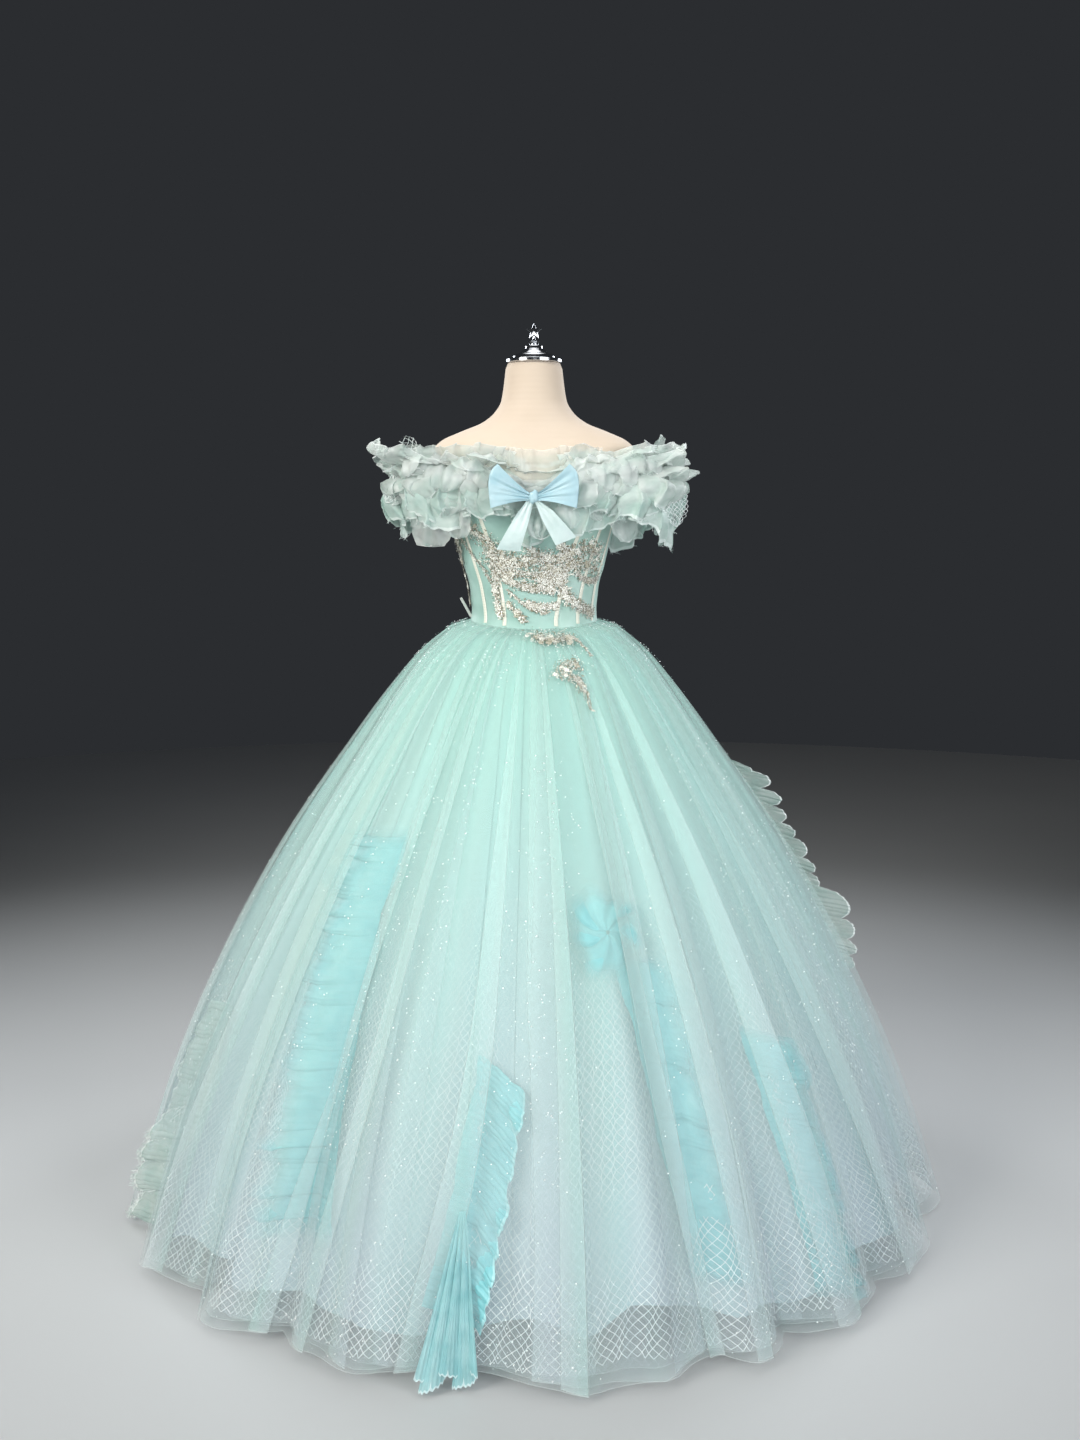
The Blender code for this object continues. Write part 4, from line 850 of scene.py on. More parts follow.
# Tiers of gathered organza round the neckline: name, height of the seam, drop at front, side and
# back, flare at front, side and back, folds, height of a fold at front, side and back, how far the
# cloth curls under, how much it gives way at the front centre, nodes it stands for.
COLLAR = (
    ("frill_low_under", 1.342, (0.078, 0.084, 0.084), (0.014, 0.030, 0.018), 23, (0.006, 0.011, 0.008),
     0.0, 0.0, ("frill_low_front", "frill_low_back", "frill_low_sleeve_left", "frill_low_sleeve_right")),
    ("frill_low_over", 1.348, (0.056, 0.066, 0.066), (0.024, 0.042, 0.028), 26, (0.009, 0.014, 0.010),
     0.7, 0.0, ()),
    ("frill_middle_under", 1.355, (0.042, 0.046, 0.048), (0.030, 0.052, 0.032), 25, (0.010, 0.014, 0.011),
     0.9, 0.1, ("frill_middle_front", "frill_middle_back", "frill_middle_sleeve_left",
                "frill_middle_sleeve_right")),
    ("frill_middle_over", 1.361, (0.024, 0.016, 0.024), (0.034, 0.044, 0.036), 27, (0.012, 0.015, 0.012),
     1.1, 0.35, ()),
    ("frill_upper", 1.367, (0.006, -0.012, 0.004), (0.032, 0.040, 0.034), 26, (0.012, 0.015, 0.012),
     1.1, 0.6, ()),
    ("frill_top", 1.372, (-0.012, -0.024, -0.014), (0.024, 0.036, 0.026), 25, (0.010, 0.014, 0.010),
     0.6, 0.8, ("frill_top_sleeve_left", "frill_top_sleeve_right")),
    ("frill_rim", 1.376, (-0.022, -0.032, -0.022), (0.008, 0.026, 0.012), 27, (0.006, 0.011, 0.008),
     0.0, 0.9, ()),
)
# The tiers stay below the highest point, stand straight up above the shoulders' edge, and leave
# room for the bow.
FRILL_HIGHEST, SHOULDER_EDGE, BOW_ROOM = 1.416, 1.417, 0.0345
BAND_LOW, BAND_HIGH = 1.338, 1.397

# Single loops and petals of organza among the tiers: angle, height and distance out of the root,
# direction as outward, up and along shares, length, width, pointedness, cup, how far it curls
# under in radians, pleats.
PETALS = (
    (-84, 1.372, 0.046, (0.85, 0.35, 0.05), 0.086, 0.056, 0.10, 0.30, 0.5, 0),
    (-80, 1.366, 0.046, (0.90, 0.10, 0.30), 0.078, 0.044, 0.05, -0.35, 0.4, 0),
    (-96, 1.358, 0.048, (0.92, -0.12, -0.2), 0.078, 0.040, 0.05, 0.35, 0.5, 0),
    (-82, 1.350, 0.056, (0.80, -0.45, 0.1), 0.070, 0.050, 0.15, 0.30, 0.6, 0),
    (-76, 1.330, 0.052, (0.55, -0.75, 0.15), 0.074, 0.052, 0.25, 0.25, 0.8, 0),
    (-66, 1.318, 0.046, (0.20, -0.95, 0.00), 0.098, 0.092, 0.00, 0.30, 0.5, 7),
    (-52, 1.314, 0.022, (0.24, -0.95, 0.10), 0.078, 0.062, 0.05, 0.25, 0.5, 4),
    (-72, 1.372, 0.036, (0.60, 0.45, 0.40), 0.078, 0.058, 0.00, 0.30, 2.0, 0),
    (-60, 1.366, 0.026, (0.75, 0.30, 0.30), 0.080, 0.062, 0.00, 0.35, 2.2, 0),
    (-48, 1.366, 0.020, (0.80, 0.20, 0.00), 0.078, 0.066, 0.00, 0.40, 2.2, 0),
    (-36, 1.362, 0.014, (0.80, 0.30, -0.30), 0.064, 0.058, 0.00, 0.40, 2.2, 0),
    (-54, 1.342, 0.024, (0.75, -0.30, 0.20), 0.074, 0.064, 0.00, 0.35, 1.8, 0),
    (-38, 1.340, 0.018, (0.65, -0.40, -0.10), 0.064, 0.058, 0.05, 0.35, 1.6, 0),
    (-26, 1.336, 0.014, (0.50, -0.60, -0.30), 0.056, 0.048, 0.05, 0.35, 1.0, 0),
    (84, 1.378, 0.046, (0.40, 0.85, -0.10), 0.060, 0.040, 0.85, 0.35, 0.2, 0),
    (88, 1.368, 0.036, (0.97, 0.08, 0.00), 0.058, 0.064, 0.90, 0.25, 0.2, 3),
    (76, 1.360, 0.036, (0.90, -0.05, 0.25), 0.060, 0.056, 0.30, 0.30, 0.8, 0),
    (94, 1.352, 0.036, (0.92, -0.30, 0.10), 0.052, 0.056, 0.45, 0.25, 0.6, 4),
    (70, 1.344, 0.036, (0.62, -0.62, 0.25), 0.064, 0.060, 0.20, 0.20, 0.7, 5),
    (58, 1.338, 0.036, (0.50, -0.72, 0.45), 0.078, 0.064, 0.10, 0.12, 0.5, 6),
    (44, 1.334, 0.028, (0.40, -0.76, 0.50), 0.076, 0.056, 0.08, 0.10, 0.4, 6),
    (30, 1.330, 0.020, (0.35, -0.82, 0.42), 0.068, 0.046, 0.05, 0.12, 0.4, 4),
    (57, 1.318, 0.022, (0.30, -0.92, 0.20), 0.090, 0.070, 0.15, 0.20, 0.5, 4),
    (38, 1.364, 0.018, (0.80, 0.25, 0.15), 0.070, 0.060, 0.00, 0.40, 2.2, 0),
    (52, 1.368, 0.024, (0.75, 0.30, 0.10), 0.076, 0.064, 0.00, 0.35, 2.1, 0),
    (66, 1.372, 0.034, (0.65, 0.45, 0.10), 0.072, 0.058, 0.05, 0.30, 1.8, 0),
    (28, 1.374, 0.012, (0.35, 0.80, 0.10), 0.040, 0.050, 0.00, 0.20, 0.5, 0),
    (2, 1.296, 0.020, (0.30, -0.90, 0.10), 0.058, 0.052, 0.30, 0.30, 0.4, 3),
    (18, 1.304, 0.022, (0.30, -0.90, 0.10), 0.050, 0.048, 0.10, 0.25, 0.4, 0),
)
PETAL_ROWS, PETAL_COLUMNS = 16, 17
SCATTERED_LOOPS = 130

# Scraps of knotted net that hang from the sleeves, laid out as petals are.
SCRAPS = (
    ("fishnet_right", (80, 1.362, 0.098, (0.04, -0.99, 0.05), 0.106, 0.062, 0.2, 0.1, 0.010, 0)),
    ("fishnet_left", (-84, 1.356, 0.096, (0.30, -0.90, 0.10), 0.056, 0.052, 0.2, 0.2, 0.006, 0)),
    ("fishnet_curl", (-76, 1.392, 0.046, (0.55, 0.55, 0.2), 0.040, 0.044, 0.1, 0.6, 0.012, 0)),
)
SCRAP_CELL = 0.0046


def collar_grid(tier, seed):
    """Return a tier's cloth: uneven folds that lean over each other toward the free edge."""
    _, seam, drops, flares, folds, stands, curl, centre, _ = tier
    angle = np.linspace(0.0, 360.0, folds * 22, endpoint=False)
    share = down_shares(18)
    pitch = 360.0 / folds
    phase = np.radians((angle + 0.30 * pitch * wander_round(angle, 2.3 * pitch, seed)) * folds)
    full = (1.0 + 0.42 * wander_round(angle, 15.0, seed + 1)
            + 0.16 * wander_round(angle, 0.9 * pitch, seed + 4))
    away = np.abs(folded_angle(angle))
    seam = seam + 0.007 * wander_round(angle, 18.0, seed + 6) - 0.012 * (1.0 - ramp(away, 5.0, 18.0))
    give = 1.0 - centre * (1.0 - ramp(away, 7.0, 27.0))
    drop, flare = three_way(angle, drops) * full * give, three_way(angle, flares) * full * give
    lively = three_way(angle, stands) * (1.0 + 0.45 * wander_round(angle, 1.6 * pitch, seed + 2)) * give
    swing = lively * np.sin(phase) * share ** 0.75
    steep = np.abs(drop) / (np.abs(drop) + np.abs(flare) + 1e-6)
    out = (FRILL_OUT + 0.0008 + arm_room(angle) + flare * np.sin(np.pi * share * (0.5 + 0.32 * curl))
           + swing * (0.35 + 0.65 * steep))
    out += 0.0016 * wander_round(angle, 0.35 * pitch, seed + 5) * share
    height = seam - drop * share ** (1.2 + 0.5 * curl) + swing * (1.0 - steep)
    room = BOW_ROOM + 0.05 * ramp(away, 26.0, 40.0) + arm_room(angle)
    out = np.where(out > room, room + 0.15 * (out - room), out)
    lean = (0.17 * pitch * np.sin(2.0 * phase) * share
            + 0.5 * pitch * share * wander_round(angle, 30.0, seed + 3))
    height = np.where(height > FRILL_HIGHEST, FRILL_HIGHEST + 0.3 * (height - FRILL_HIGHEST), height)
    grid = torso_point(angle + lean, np.minimum(height, SHOULDER_EDGE), out)
    grid[..., 2] += np.maximum(height - SHOULDER_EDGE, 0.0)
    free = share ** 0.6 * (0.35 + 0.65 * ramp(away, 22.0, 38.0))
    return grid + crush(grid, 0.0060, 0.0028, seed) * free[..., None]


def petal_grid(row):
    """Return one organza petal and, for each of its points, how near it is to the rim."""
    angle, level, out, (outward, rise, along), length, width, pointed, cup, curl, pleats = row
    root, round_, _, normal = (part[0] for part in surface_axes(
        lambda a, h: torso_point(a, h, out), np.array([float(angle)]), np.array([level]), 0.002))
    round_ = unit(round_ + (0.75 * np.sign(round_[0]), 0.0, 0.0))
    forward = unit(unit(normal * (1.0, 1.0, 0.0)) * outward + (0.0, 0.0, rise) + round_ * along)
    face = unit(np.cross(round_, forward))
    aside = np.cross(forward, face)
    share, across = down_shares(PETAL_ROWS), round_shares(PETAL_COLUMNS, -1.0, 1.0)
    round_end = np.sqrt(np.clip(1.0 - np.clip((share - 0.62) / 0.38, 0.0, 1.0) ** 2.4, 0.0, 1.0))
    sharp_end = np.clip((1.0 - share) / 0.55, 0.0, 1.0) ** 0.8
    outline = (1.0 - pointed) * round_end + pointed * sharp_end
    half = width / 2.0 * outline * (0.38 + 0.62 * ramp(share, 0.0, 0.45)) + 0.0008
    relief = (cup * half * (across ** 2 - 0.4)
              + 0.0016 * np.sin(7.0 * across + 3.0 * share + angle) * (1.0 - 0.4 * share)
              + 0.075 * half * np.sin(8.5 * across + 2.0 * share + 2.3 * angle) * ramp(share, 0.05, 0.5))
    if pleats:
        relief = relief + 0.0042 * ((pleats * (across + 1.0) / 2.0) % 1.0 - 0.5)
    bend = curl * share ** 1.3
    reach = length * share * np.sinc(bend / np.pi)
    sink = length * share * np.sin(bend / 2.0) * np.sinc(bend / 2.0 / np.pi)
    relief_way = face * np.cos(bend)[..., None] - forward * np.sin(bend)[..., None]
    grid = (root + forward * reach[..., None] + face * sink[..., None] + aside * (across * half)[..., None]
            + relief_way * relief[..., None])
    grid = grid + crush(grid, 0.0046, 0.0024, int(angle) + 500) * (share ** 0.7)[..., None]
    return grid, np.maximum(0.97 * np.abs(across) ** 1.2 * ramp(share, 0.1, 0.4), share ** 1.2)


def scattered_loops():
    """Return rows like those of PETALS for the loops that fill the tiers, clear of the bow."""
    source = np.random.default_rng(31)
    rows = []
    for _ in range(SCATTERED_LOOPS):
        angle = source.uniform(0.0, 360.0)
        if abs(folded_angle(angle)) < 22.0:
            continue
        rise = source.uniform(-0.8, 0.7)
        out = 0.014 + float(arm_room(angle)) * (0.72 if angle > 180.0 else 0.60)
        longer = 0.004 * math.sin(math.radians(angle)) ** 2
        rows.append((angle, 1.360 + 0.022 * rise, out, (0.75, rise, source.normal(0.0, 0.4)),
                     source.uniform(0.046, 0.068) + longer, source.uniform(0.050, 0.078),
                     source.uniform(0.0, 0.15), source.uniform(0.2, 0.45), source.uniform(0.9, 2.6), 0))
    return rows


def between(grid, column, row):
    """Read a grid of points between them, by shares across and down."""
    u, v = column * (grid.shape[1] - 1.001), row * (grid.shape[0] - 1.001)
    i, j = u.astype(int), v.astype(int)
    a, b = (u - i)[..., None], (v - j)[..., None]
    return (grid[j, i] * (1 - a) * (1 - b) + grid[j, i + 1] * a * (1 - b)
            + grid[j + 1, i] * (1 - a) * b + grid[j + 1, i + 1] * a * b)


def add_diamond_net(name, point, across, down, width, material, closed=False):
    """Knot a net of diamond cells. point gives places for half-cell steps across and down; width is
    a thread's width or a function of its place."""
    columns, rows = np.meshgrid(np.arange(across), np.arange(down))
    nodes = point(columns, rows)
    normal = np.cross(np.roll(nodes, -1, axis=0) - nodes, np.roll(nodes, -1, axis=1) - nodes)
    normal[-1], normal[:, -1] = normal[-2], normal[:, -2]
    parts = []
    for step in (-1, 1):
        beside = (columns + step)[:-1]
        keep = ((columns + rows) % 2 == 0)[:-1] & (closed | (beside >= 0) & (beside < across))
        parts.append((nodes[:-1][keep], np.roll(nodes, -step, axis=1)[1:][keep], normal[:-1][keep]))
    starts, ends, normals = map(np.concatenate, zip(*parts))
    return add_strands(name, starts, ends, normals, width(starts) if callable(width) else width, material)


def add_band():
    """Add the sheer band that the tiers are gathered onto."""
    cloth = make_organza("sheer_mint_band", "#D2E4DB", "#C6DED4", 0.16, "#DCEAE3", 0.22)
    angle = np.linspace(0.0, 360.0, 240, endpoint=False)
    height = down_shares(9, BAND_HIGH, BAND_LOW)
    crease = 0.0008 * wander_round(angle + 30.0 * height, 5.0, 5)
    dip = 0.010 * (1.0 - ramp(np.abs(folded_angle(angle)), 6.0, 30.0)) * (height > 1.38)
    grid = torso_point(angle, height - dip, BAND_OUT + PANEL / 2.0 + arm_room(angle) + crease)
    band = add_cloth("neckline_band", grid, cloth, closed=True)
    dress(band, "band", "band_front", "band_back", "band_sleeve_left", "band_sleeve_right")


def add_gauze():
    """Add the crumpled gauze over the front of the neckline."""
    cloth = make_organza("sheer_neckline_gauze", "#EAF1EA", "#DDE9E0", 0.34, "#F0F5F0", 0.40, 0.97)
    angle, share = round_shares(180, -42.0, 42.0), down_shares(14)
    free = 1.398 + 0.006 * wander(angle, 9.0, 61) + 0.004 * ramp(np.abs(angle), 8.0, 30.0)
    grid = torso_point(angle, BAND_LOW + (free - BAND_LOW) * share,
                       BAND_OUT + 0.005 + 0.008 * np.sin(np.pi * share ** 0.8)
                       + 0.0030 * np.sin(0.9 * angle + 3.0 * wander(angle, 14.0, 62)) * share)
    grid = grid + crush(grid, 0.0040, 0.0020, 63) * share[..., None]
    gauze = dress(add_cloth("neckline_gauze", grid, cloth), "frill")


def add_frayed_threads(rims, yarn):
    """Add frayed threads that stand out of the cut edges of the low tiers."""
    source = np.random.default_rng(77)
    threads = []
    for rim in rims:
        pick = source.integers(0, len(rim), 240)
        pick = pick[np.abs(folded_angle(pick / len(rim) * 360.0)) > 34.0]
        outward = unit(rim[pick] * (1.0, 1.0, 0.0))
        way = unit(outward * 0.5 + source.normal(0.0, 0.6, (len(pick), 3)) + (0.0, 0.0, -0.5))
        normals = source.normal(0.0, 1.0, (len(pick), 3))
        threads.append((rim[pick], rim[pick] + way * source.uniform(0.003, 0.010, (len(pick), 1)), normals))
    return add_strands("frayed_threads", *map(np.concatenate, zip(*threads)), 0.0006, yarn)


def add_collar():
    """Add the band, the gathered tiers, the gauze, petals and loops, net scraps and frayed threads."""
    organza = make_organza("mint_grey_organza", "#EDF5F1", "#D9EBE3", 0.58, "#F2FAF7", 0.74, 0.965)
    low = make_organza("mint_organza_low", "#DFF1EA", "#CBE8DF", 0.62, "#EAF6F2", 0.80)
    crisp = make_organza("crisp_grey_organza", "#EAF2EF", "#D5E6E0", 0.50, "#FBFDFC", 0.86, 0.968)
    add_band()
    tiers = []
    for number, tier in enumerate(COLLAR):
        grid = collar_grid(tier, 100 + 10 * number)
        piece = add_cloth(tier[0], grid, low if number < 2 else organza, closed=True)
        tiers.append((dress(piece, "frill", *tier[-1]), grid))
    add_gauze()
    extras = [join_grids("collar_petals", *zip(*map(petal_grid, PETALS)), crisp),
              join_grids("collar_loops", *zip(*map(petal_grid, scattered_loops())), organza)]
    yarn = make_threads("white_net_yarn", "#F7FAF9", "#DCE8E6", 0.6)
    for name, row in SCRAPS:
        patch, _ = petal_grid(row)
        across, down = int(row[5] / SCRAP_CELL), int(row[4] / SCRAP_CELL)
        extras.append(add_diamond_net(name, lambda column, level: between(
            patch, column / (across - 1), level / (down - 1)), across, down, 0.0012, yarn))
    extras.append(add_frayed_threads([grid[-1] for _, grid in tiers[:4]], yarn))
    for piece in extras:
        dress(piece, "frill")


# ---- bow -----------------------------------------------------------------------------------

BOW_HEIGHT = 1.313
KNOT_WIDE, KNOT_DEEP, KNOT_TALL = 0.015, 0.010, 0.020
LOOP_REACH, LOOP_SMALL, LOOP_TALL, LOOP_FULL, LOOP_FORWARD = 0.071, 0.014, 0.070, 0.018, 0.22
LOOP_RISE, LOOP_SPREAD, LOOP_ROUNDING, LOOP_CORNER = 0.018, 0.006, 0.007, 0.013
# Tails: name, distance sideways and down to the end, width at the knot and at the end, slant of the
# cut end.
TAILS = (("left", -0.038, 0.086, 0.012, 0.039, -0.013), ("right", 0.050, 0.070, 0.012, 0.038, 0.009))


def bow_loop_grid(side, back):
    """Return one loop of ribbon, from the knot out and back, with creases that run from the knot."""
    share, level = round_shares(72), down_shares(30, 0.5, -0.5)
    reach = np.sin(np.pi * share) ** 0.75
    depth = LOOP_FULL / 2.0 * np.cos(np.pi * share)
    fullness = np.minimum(1.0, 0.28 + 1.6 * reach * (1.0 - 0.35 * reach))
    tall = LOOP_SMALL + (LOOP_TALL - LOOP_SMALL) * reach ** 1.3 + LOOP_SPREAD * reach
    crease = (np.sin(level * 19.0 + side) + 0.6 * np.sin(level * 33.0 + 2.0)) * (1.0 - reach) ** 0.6
    fold = swell(level, 0.10 * side + 0.05, 0.06) * swell(reach, 0.45, 0.30)
    x = side * (KNOT_WIDE / 2.0 + LOOP_REACH * reach - LOOP_ROUNDING * reach * np.abs(level) ** 1.6 * 1.5
                - LOOP_CORNER * reach * np.clip(2.0 * level, 0.0, 1.0) ** 4)
    y = (back - KNOT_DEEP / 2.0 - LOOP_FORWARD * LOOP_REACH * reach - depth * fullness
         + (0.0024 * crease + 0.0036 * fold) * np.sign(np.cos(np.pi * share)))
    grid = as_points(x, y, BOW_HEIGHT + LOOP_RISE * reach + level * tall)
    return grid[:, ::-1] if side < 0.0 else grid


def knot_grid(back):
    """Return the gathered ribbon round the knot."""
    turn = np.linspace(0.0, 2.0 * np.pi, 48, endpoint=False)
    rise = down_shares(26, -1.0)
    girth = np.sqrt(np.clip(1.0 - np.abs(rise) ** 2.6, 0.0, 1.0)) * (1.0 - 0.10 * swell(rise, 0.0, 0.4))
    girth = girth * (1.0 + 0.07 * np.sin(9.0 * turn + 2.2 * rise) * (1.0 - rise ** 2))
    grid = as_points(KNOT_WIDE / 1.7 * girth * np.cos(turn),
                     back - KNOT_DEEP * 0.62 * (1.0 + girth * np.sin(turn)),
                     BOW_HEIGHT - rise * KNOT_TALL / 1.8 + 0.0015 * np.cos(turn))
    return grid[:, ::-1]


def tail_grid(back, sideways, downward, narrow, wide, slant):
    """Return one tail of ribbon, which widens and waves toward its slanted end."""
    share, across = down_shares(40), round_shares(16, -0.5, 0.5)
    run = np.array([sideways, -downward]) / math.hypot(sideways, downward)
    width, end = narrow + (wide - narrow) * share ** 0.7, slant * across * share ** 6
    x = math.copysign(0.0066, sideways) + sideways * share - run[1] * across * width + run[0] * end
    y = (back - KNOT_DEEP / 2.0 - 0.0012 + 0.0035 * np.sin(2.0 * np.pi * (share + 0.4 * across)) * share
         + 0.0012 * np.sin(15.0 * across) * (1.0 - share) ** 1.5)
    z = (BOW_HEIGHT - KNOT_TALL / 2.0 + 0.003 - downward * share
         + run[0] * across * width * np.minimum(1.0, 3.0 * share) + run[1] * end)
    return as_points(x, y, z)


def add_bow():
    """Add the two loops, the knot and the two tails."""
    satin = make_satin("pale_blue_satin_ribbon", "#B9D8E0", "#A6CCD7", 0.30, 2.5, 0.15)
    # Loops and tails are one ribbon; the tails' lighter copy of its satin is painted light on them.
    tail_satin_painted_light = make_satin("ribbon_tails_satin_painted_lighter", "#D2E4E2", "#BFD6D4", 0.34, 2.5, 0.15)
    back = float(torso_point(0.0, 1.3108, FRILL_OUT + 0.0302)[1]) - 0.0008
    for side, name in ((-1.0, "left"), (1.0, "right")):
        grid = bow_loop_grid(side, back)
        loop = dress(add_cloth(f"ribbon_loop_{name}", grid, satin), "bow", f"bow_loop_{name}")
    dress(add_cloth("ribbon_knot", knot_grid(back), satin, closed=True), "bow", "bow_knot")
    for name, *sizes in TAILS:
        grid = tail_grid(back, *sizes)
        tail = dress(add_cloth(f"ribbon_tail_{name}", grid, tail_satin_painted_light), "bow", f"bow_tail_{name}")


# ---- skirt ---------------------------------------------------------------------------------

# Main folds of the overlay's front: angle near the waist, above the knee and at the hem, width in
# degrees near the waist and at the hem, side that lies on top.
FRONT_FOLDS = (
    (-71.0, -69.0, -67.0, 2.0, 4.0, 1), (-53.0, -57.0, -57.6, 1.6, 3.4, -1),
    (-40.0, -44.0, -45.5, 1.8, 3.2, 1), (-24.0, -30.2, -35.6, 2.4, 4.6, 1),
    (-17.0, -23.6, -29.2, 1.8, 4.4, 1), (-6.0, -7.9, -13.6, 1.6, 4.4, -1), (3.5, 5.0, 4.6, 1.8, 3.0, 1),
    (11.5, 17.8, 22.4, 1.6, 3.4, -1), (20.0, 26.0, 27.4, 2.0, 3.0, 1), (34.0, 38.0, 41.4, 2.0, 4.2, 1),
    (48.0, 55.0, 58.8, 2.4, 4.4, -1), (66.0, 70.0, 73.0, 2.0, 4.4, -1),
)
FRONT_END = 79.0                                  # behind this angle the folds are left to chance
FOLD_LINE = 0.13                                  # width in degrees of the painted highlight along a fold
HEM_ROW = 0.24                                    # metres of height in the skirt's lowest row
OVERLAY_SEED, BACKING_SEED = 11, 37
OUTER_NET, INNER_NET = (720, 59), (700, 91)       # half cells round and down
GLITTER_SPOTS = 120000


def knife_pleats(down, count, seed, width, lift, placed=()):
    """Return angles, distances outward and edge values, for each row, of cloth laid in uneven knife
    pleats. Each pleat doubles back on itself, so that the veil is three layers deep between two
    crisp folds, and the edge value is 1 along those folds, where it paints a highlight."""
    source = np.random.default_rng(seed)
    height = lift * (0.15 + 0.85 * ramp(down, 0.8, 5.0))
    pleats = []
    for start in (np.arange(count) + source.uniform(-0.34, 0.34, count)) * 360.0 / count:
        sway = source.normal(0.0, 0.9) * ramp(down, 1.0, FLOOR_ROW)
        wave = 1.0 + 0.5 * np.sin(down * source.uniform(0.4, 1.1) + source.uniform(0.0, 6.3))
        half = width * source.uniform(0.25, 1.5) * np.maximum(wave, 0.15) / 2.0
        clear, hand = source.uniform(0.35, 1.0), source.choice((-1.0, 1.0))
        if not placed or FRONT_END < start < 360.0 - FRONT_END:
            pleats.append((start + sway, half, clear, hand))
    for high, middle, low, slim, wide, hand in placed:
        pleats.append((smooth(down, (0.8, 5.9, FLOOR_ROW), (high, middle, low)),
                       (slim + (wide - slim) * ramp(down, 1.0, FLOOR_ROW)) / 2.0, 1.0, float(hand)))
    pleats.sort(key=lambda pleat: pleat[0][-1] % 360.0)
    middles = np.array([pleat[0] % 360.0 for pleat in pleats])
    middles = np.where(middles < middles[:, -1:] - 180.0, middles + 360.0, middles)
    middles = np.where(middles > middles[:, -1:] + 180.0, middles - 360.0, middles)
    after = np.roll(middles, -1, axis=0)
    after[-1] += 360.0
    gap = np.maximum(after - middles, 0.5)
    flat = np.linspace(0.0, 1.0, 8)               # steps over the cloth between two pleats
    angles, outs, edges = [], [], []
    for pleat, (_, half, clear, hand) in enumerate(pleats):
        middle = middles[pleat]
        begin, end = middle - gap[pleat - 1] / 2.0, middle + gap[pleat] / 2.0
        half = np.minimum(half, 0.42 * np.minimum(middle - begin, end - middle))
        first, last = middle + half, middle - half
        clear = clear * ramp(down, 0.8, 4.0)
        inside, beyond = first - FOLD_LINE, last + FOLD_LINE
        columns = [(begin + (inside - begin) * part, part, 0.0) for part in flat]
        # The two fold columns carry the edge value that paints a highlight along each fold.
        columns += [(first, 1.0, clear), (inside, 0.97, 0.0)]
        columns += [(inside + (beyond - inside) * part, 0.97 - 1.94 * part, 0.0) for part in (0.33, 0.67)]
        columns += [(beyond, -0.97, 0.0), (last, -1.0, 0.8 * clear)]
        columns += [(beyond + (end - beyond) * part, part - 1.0, 0.0) for part in flat[:-1]]
        for angle, out, edge in columns:
            angles.append(angle)
            outs.append(hand * height * out)
            edges.append(np.broadcast_to(edge, down.shape))
    return tuple(np.stack(values, axis=1) for values in (angles, outs, edges))


def add_skirt_cloth(name, deep, count, seed, width, lift, rows, hem, material, placed=()):
    """Add a skirt layer in knife pleats over its gathers, with rows closer together at the waist and
    a last row for the hem's own fine edge. hem is how far the uneven hem ends above the floor, by
    how much it varies, and how much higher it is at the front."""
    down = np.concatenate([np.linspace(0.0, 1.0, 7, endpoint=False),
                           np.linspace(1.0, FLOOR_ROW - 0.009, rows), [FLOOR_ROW]])
    angle, out, edge = knife_pleats(down, count, seed, width, lift, placed)
    least, uneven, front = hem
    rise = (least + uneven * (0.5 + 0.5 * wander_round(angle[-1], 7.0, seed + 3))
            + front * swell(folded_angle(angle[-1]), 8.0, 13.0))
    level = down[:, None] * ((FLOOR_ROW - rise / HEM_ROW) / FLOOR_ROW)
    grid = skirt_point(angle, level, deep, out + ripple(angle, level, seed))
    edge[-1] = 0.8
    return add_cloth(name, grid, material, closed=True, edges=edge), grid


def net_width(places, low, more, seed, bare=0.0):
    """Return the width of the net's threads: full near the hem, and finer upward from a height that
    changes from fold to fold. Below the bare height they are fine again."""
    angle = np.degrees(np.arctan2(places[:, 0], -places[:, 1]))
    top = low + more * np.clip(0.5 + 0.9 * wander_round(angle % 360.0, 10.0, seed), 0.0, 1.0)
    shown = ramp(places[:, 2], top + 0.14, top - 0.06)
    if bare:
        shown = shown * ramp(places[:, 2], bare - 0.05, bare + 0.05)
    return 0.00016 + 0.00074 * shown


def outer_net_point(column, level):
    """Return places of the outer net, which comes forward of the backing near the uneven hem."""
    angle = column * (360.0 / OUTER_NET[0]) + 0.20 * np.sin(level * 0.37 + column)
    end = 7.92 - 0.006 * (10 + 9 * wander_round(column * 0.5, 12.0, 8))
    row = end - (OUTER_NET[1] - 1 - level) * 0.0300
    out = ripple(angle, row, BACKING_SEED) + 0.0006 * np.sin(column * 1.7 + level)
    return skirt_point(angle, row, 0.88 - 0.62 * ramp(row, 7.05, 7.45), out)


def inner_net_point(column, level):
    """Return places of the inner net, which lies close on the backing."""
    angle = column * (360.0 / INNER_NET[0]) + 0.2 * np.sin(level * 0.3 + column * 2.0)
    row = 7.93 - (INNER_NET[1] - 1 - level) * 0.0305
    return skirt_point(angle, row, 0.96, ripple(angle, row, BACKING_SEED))


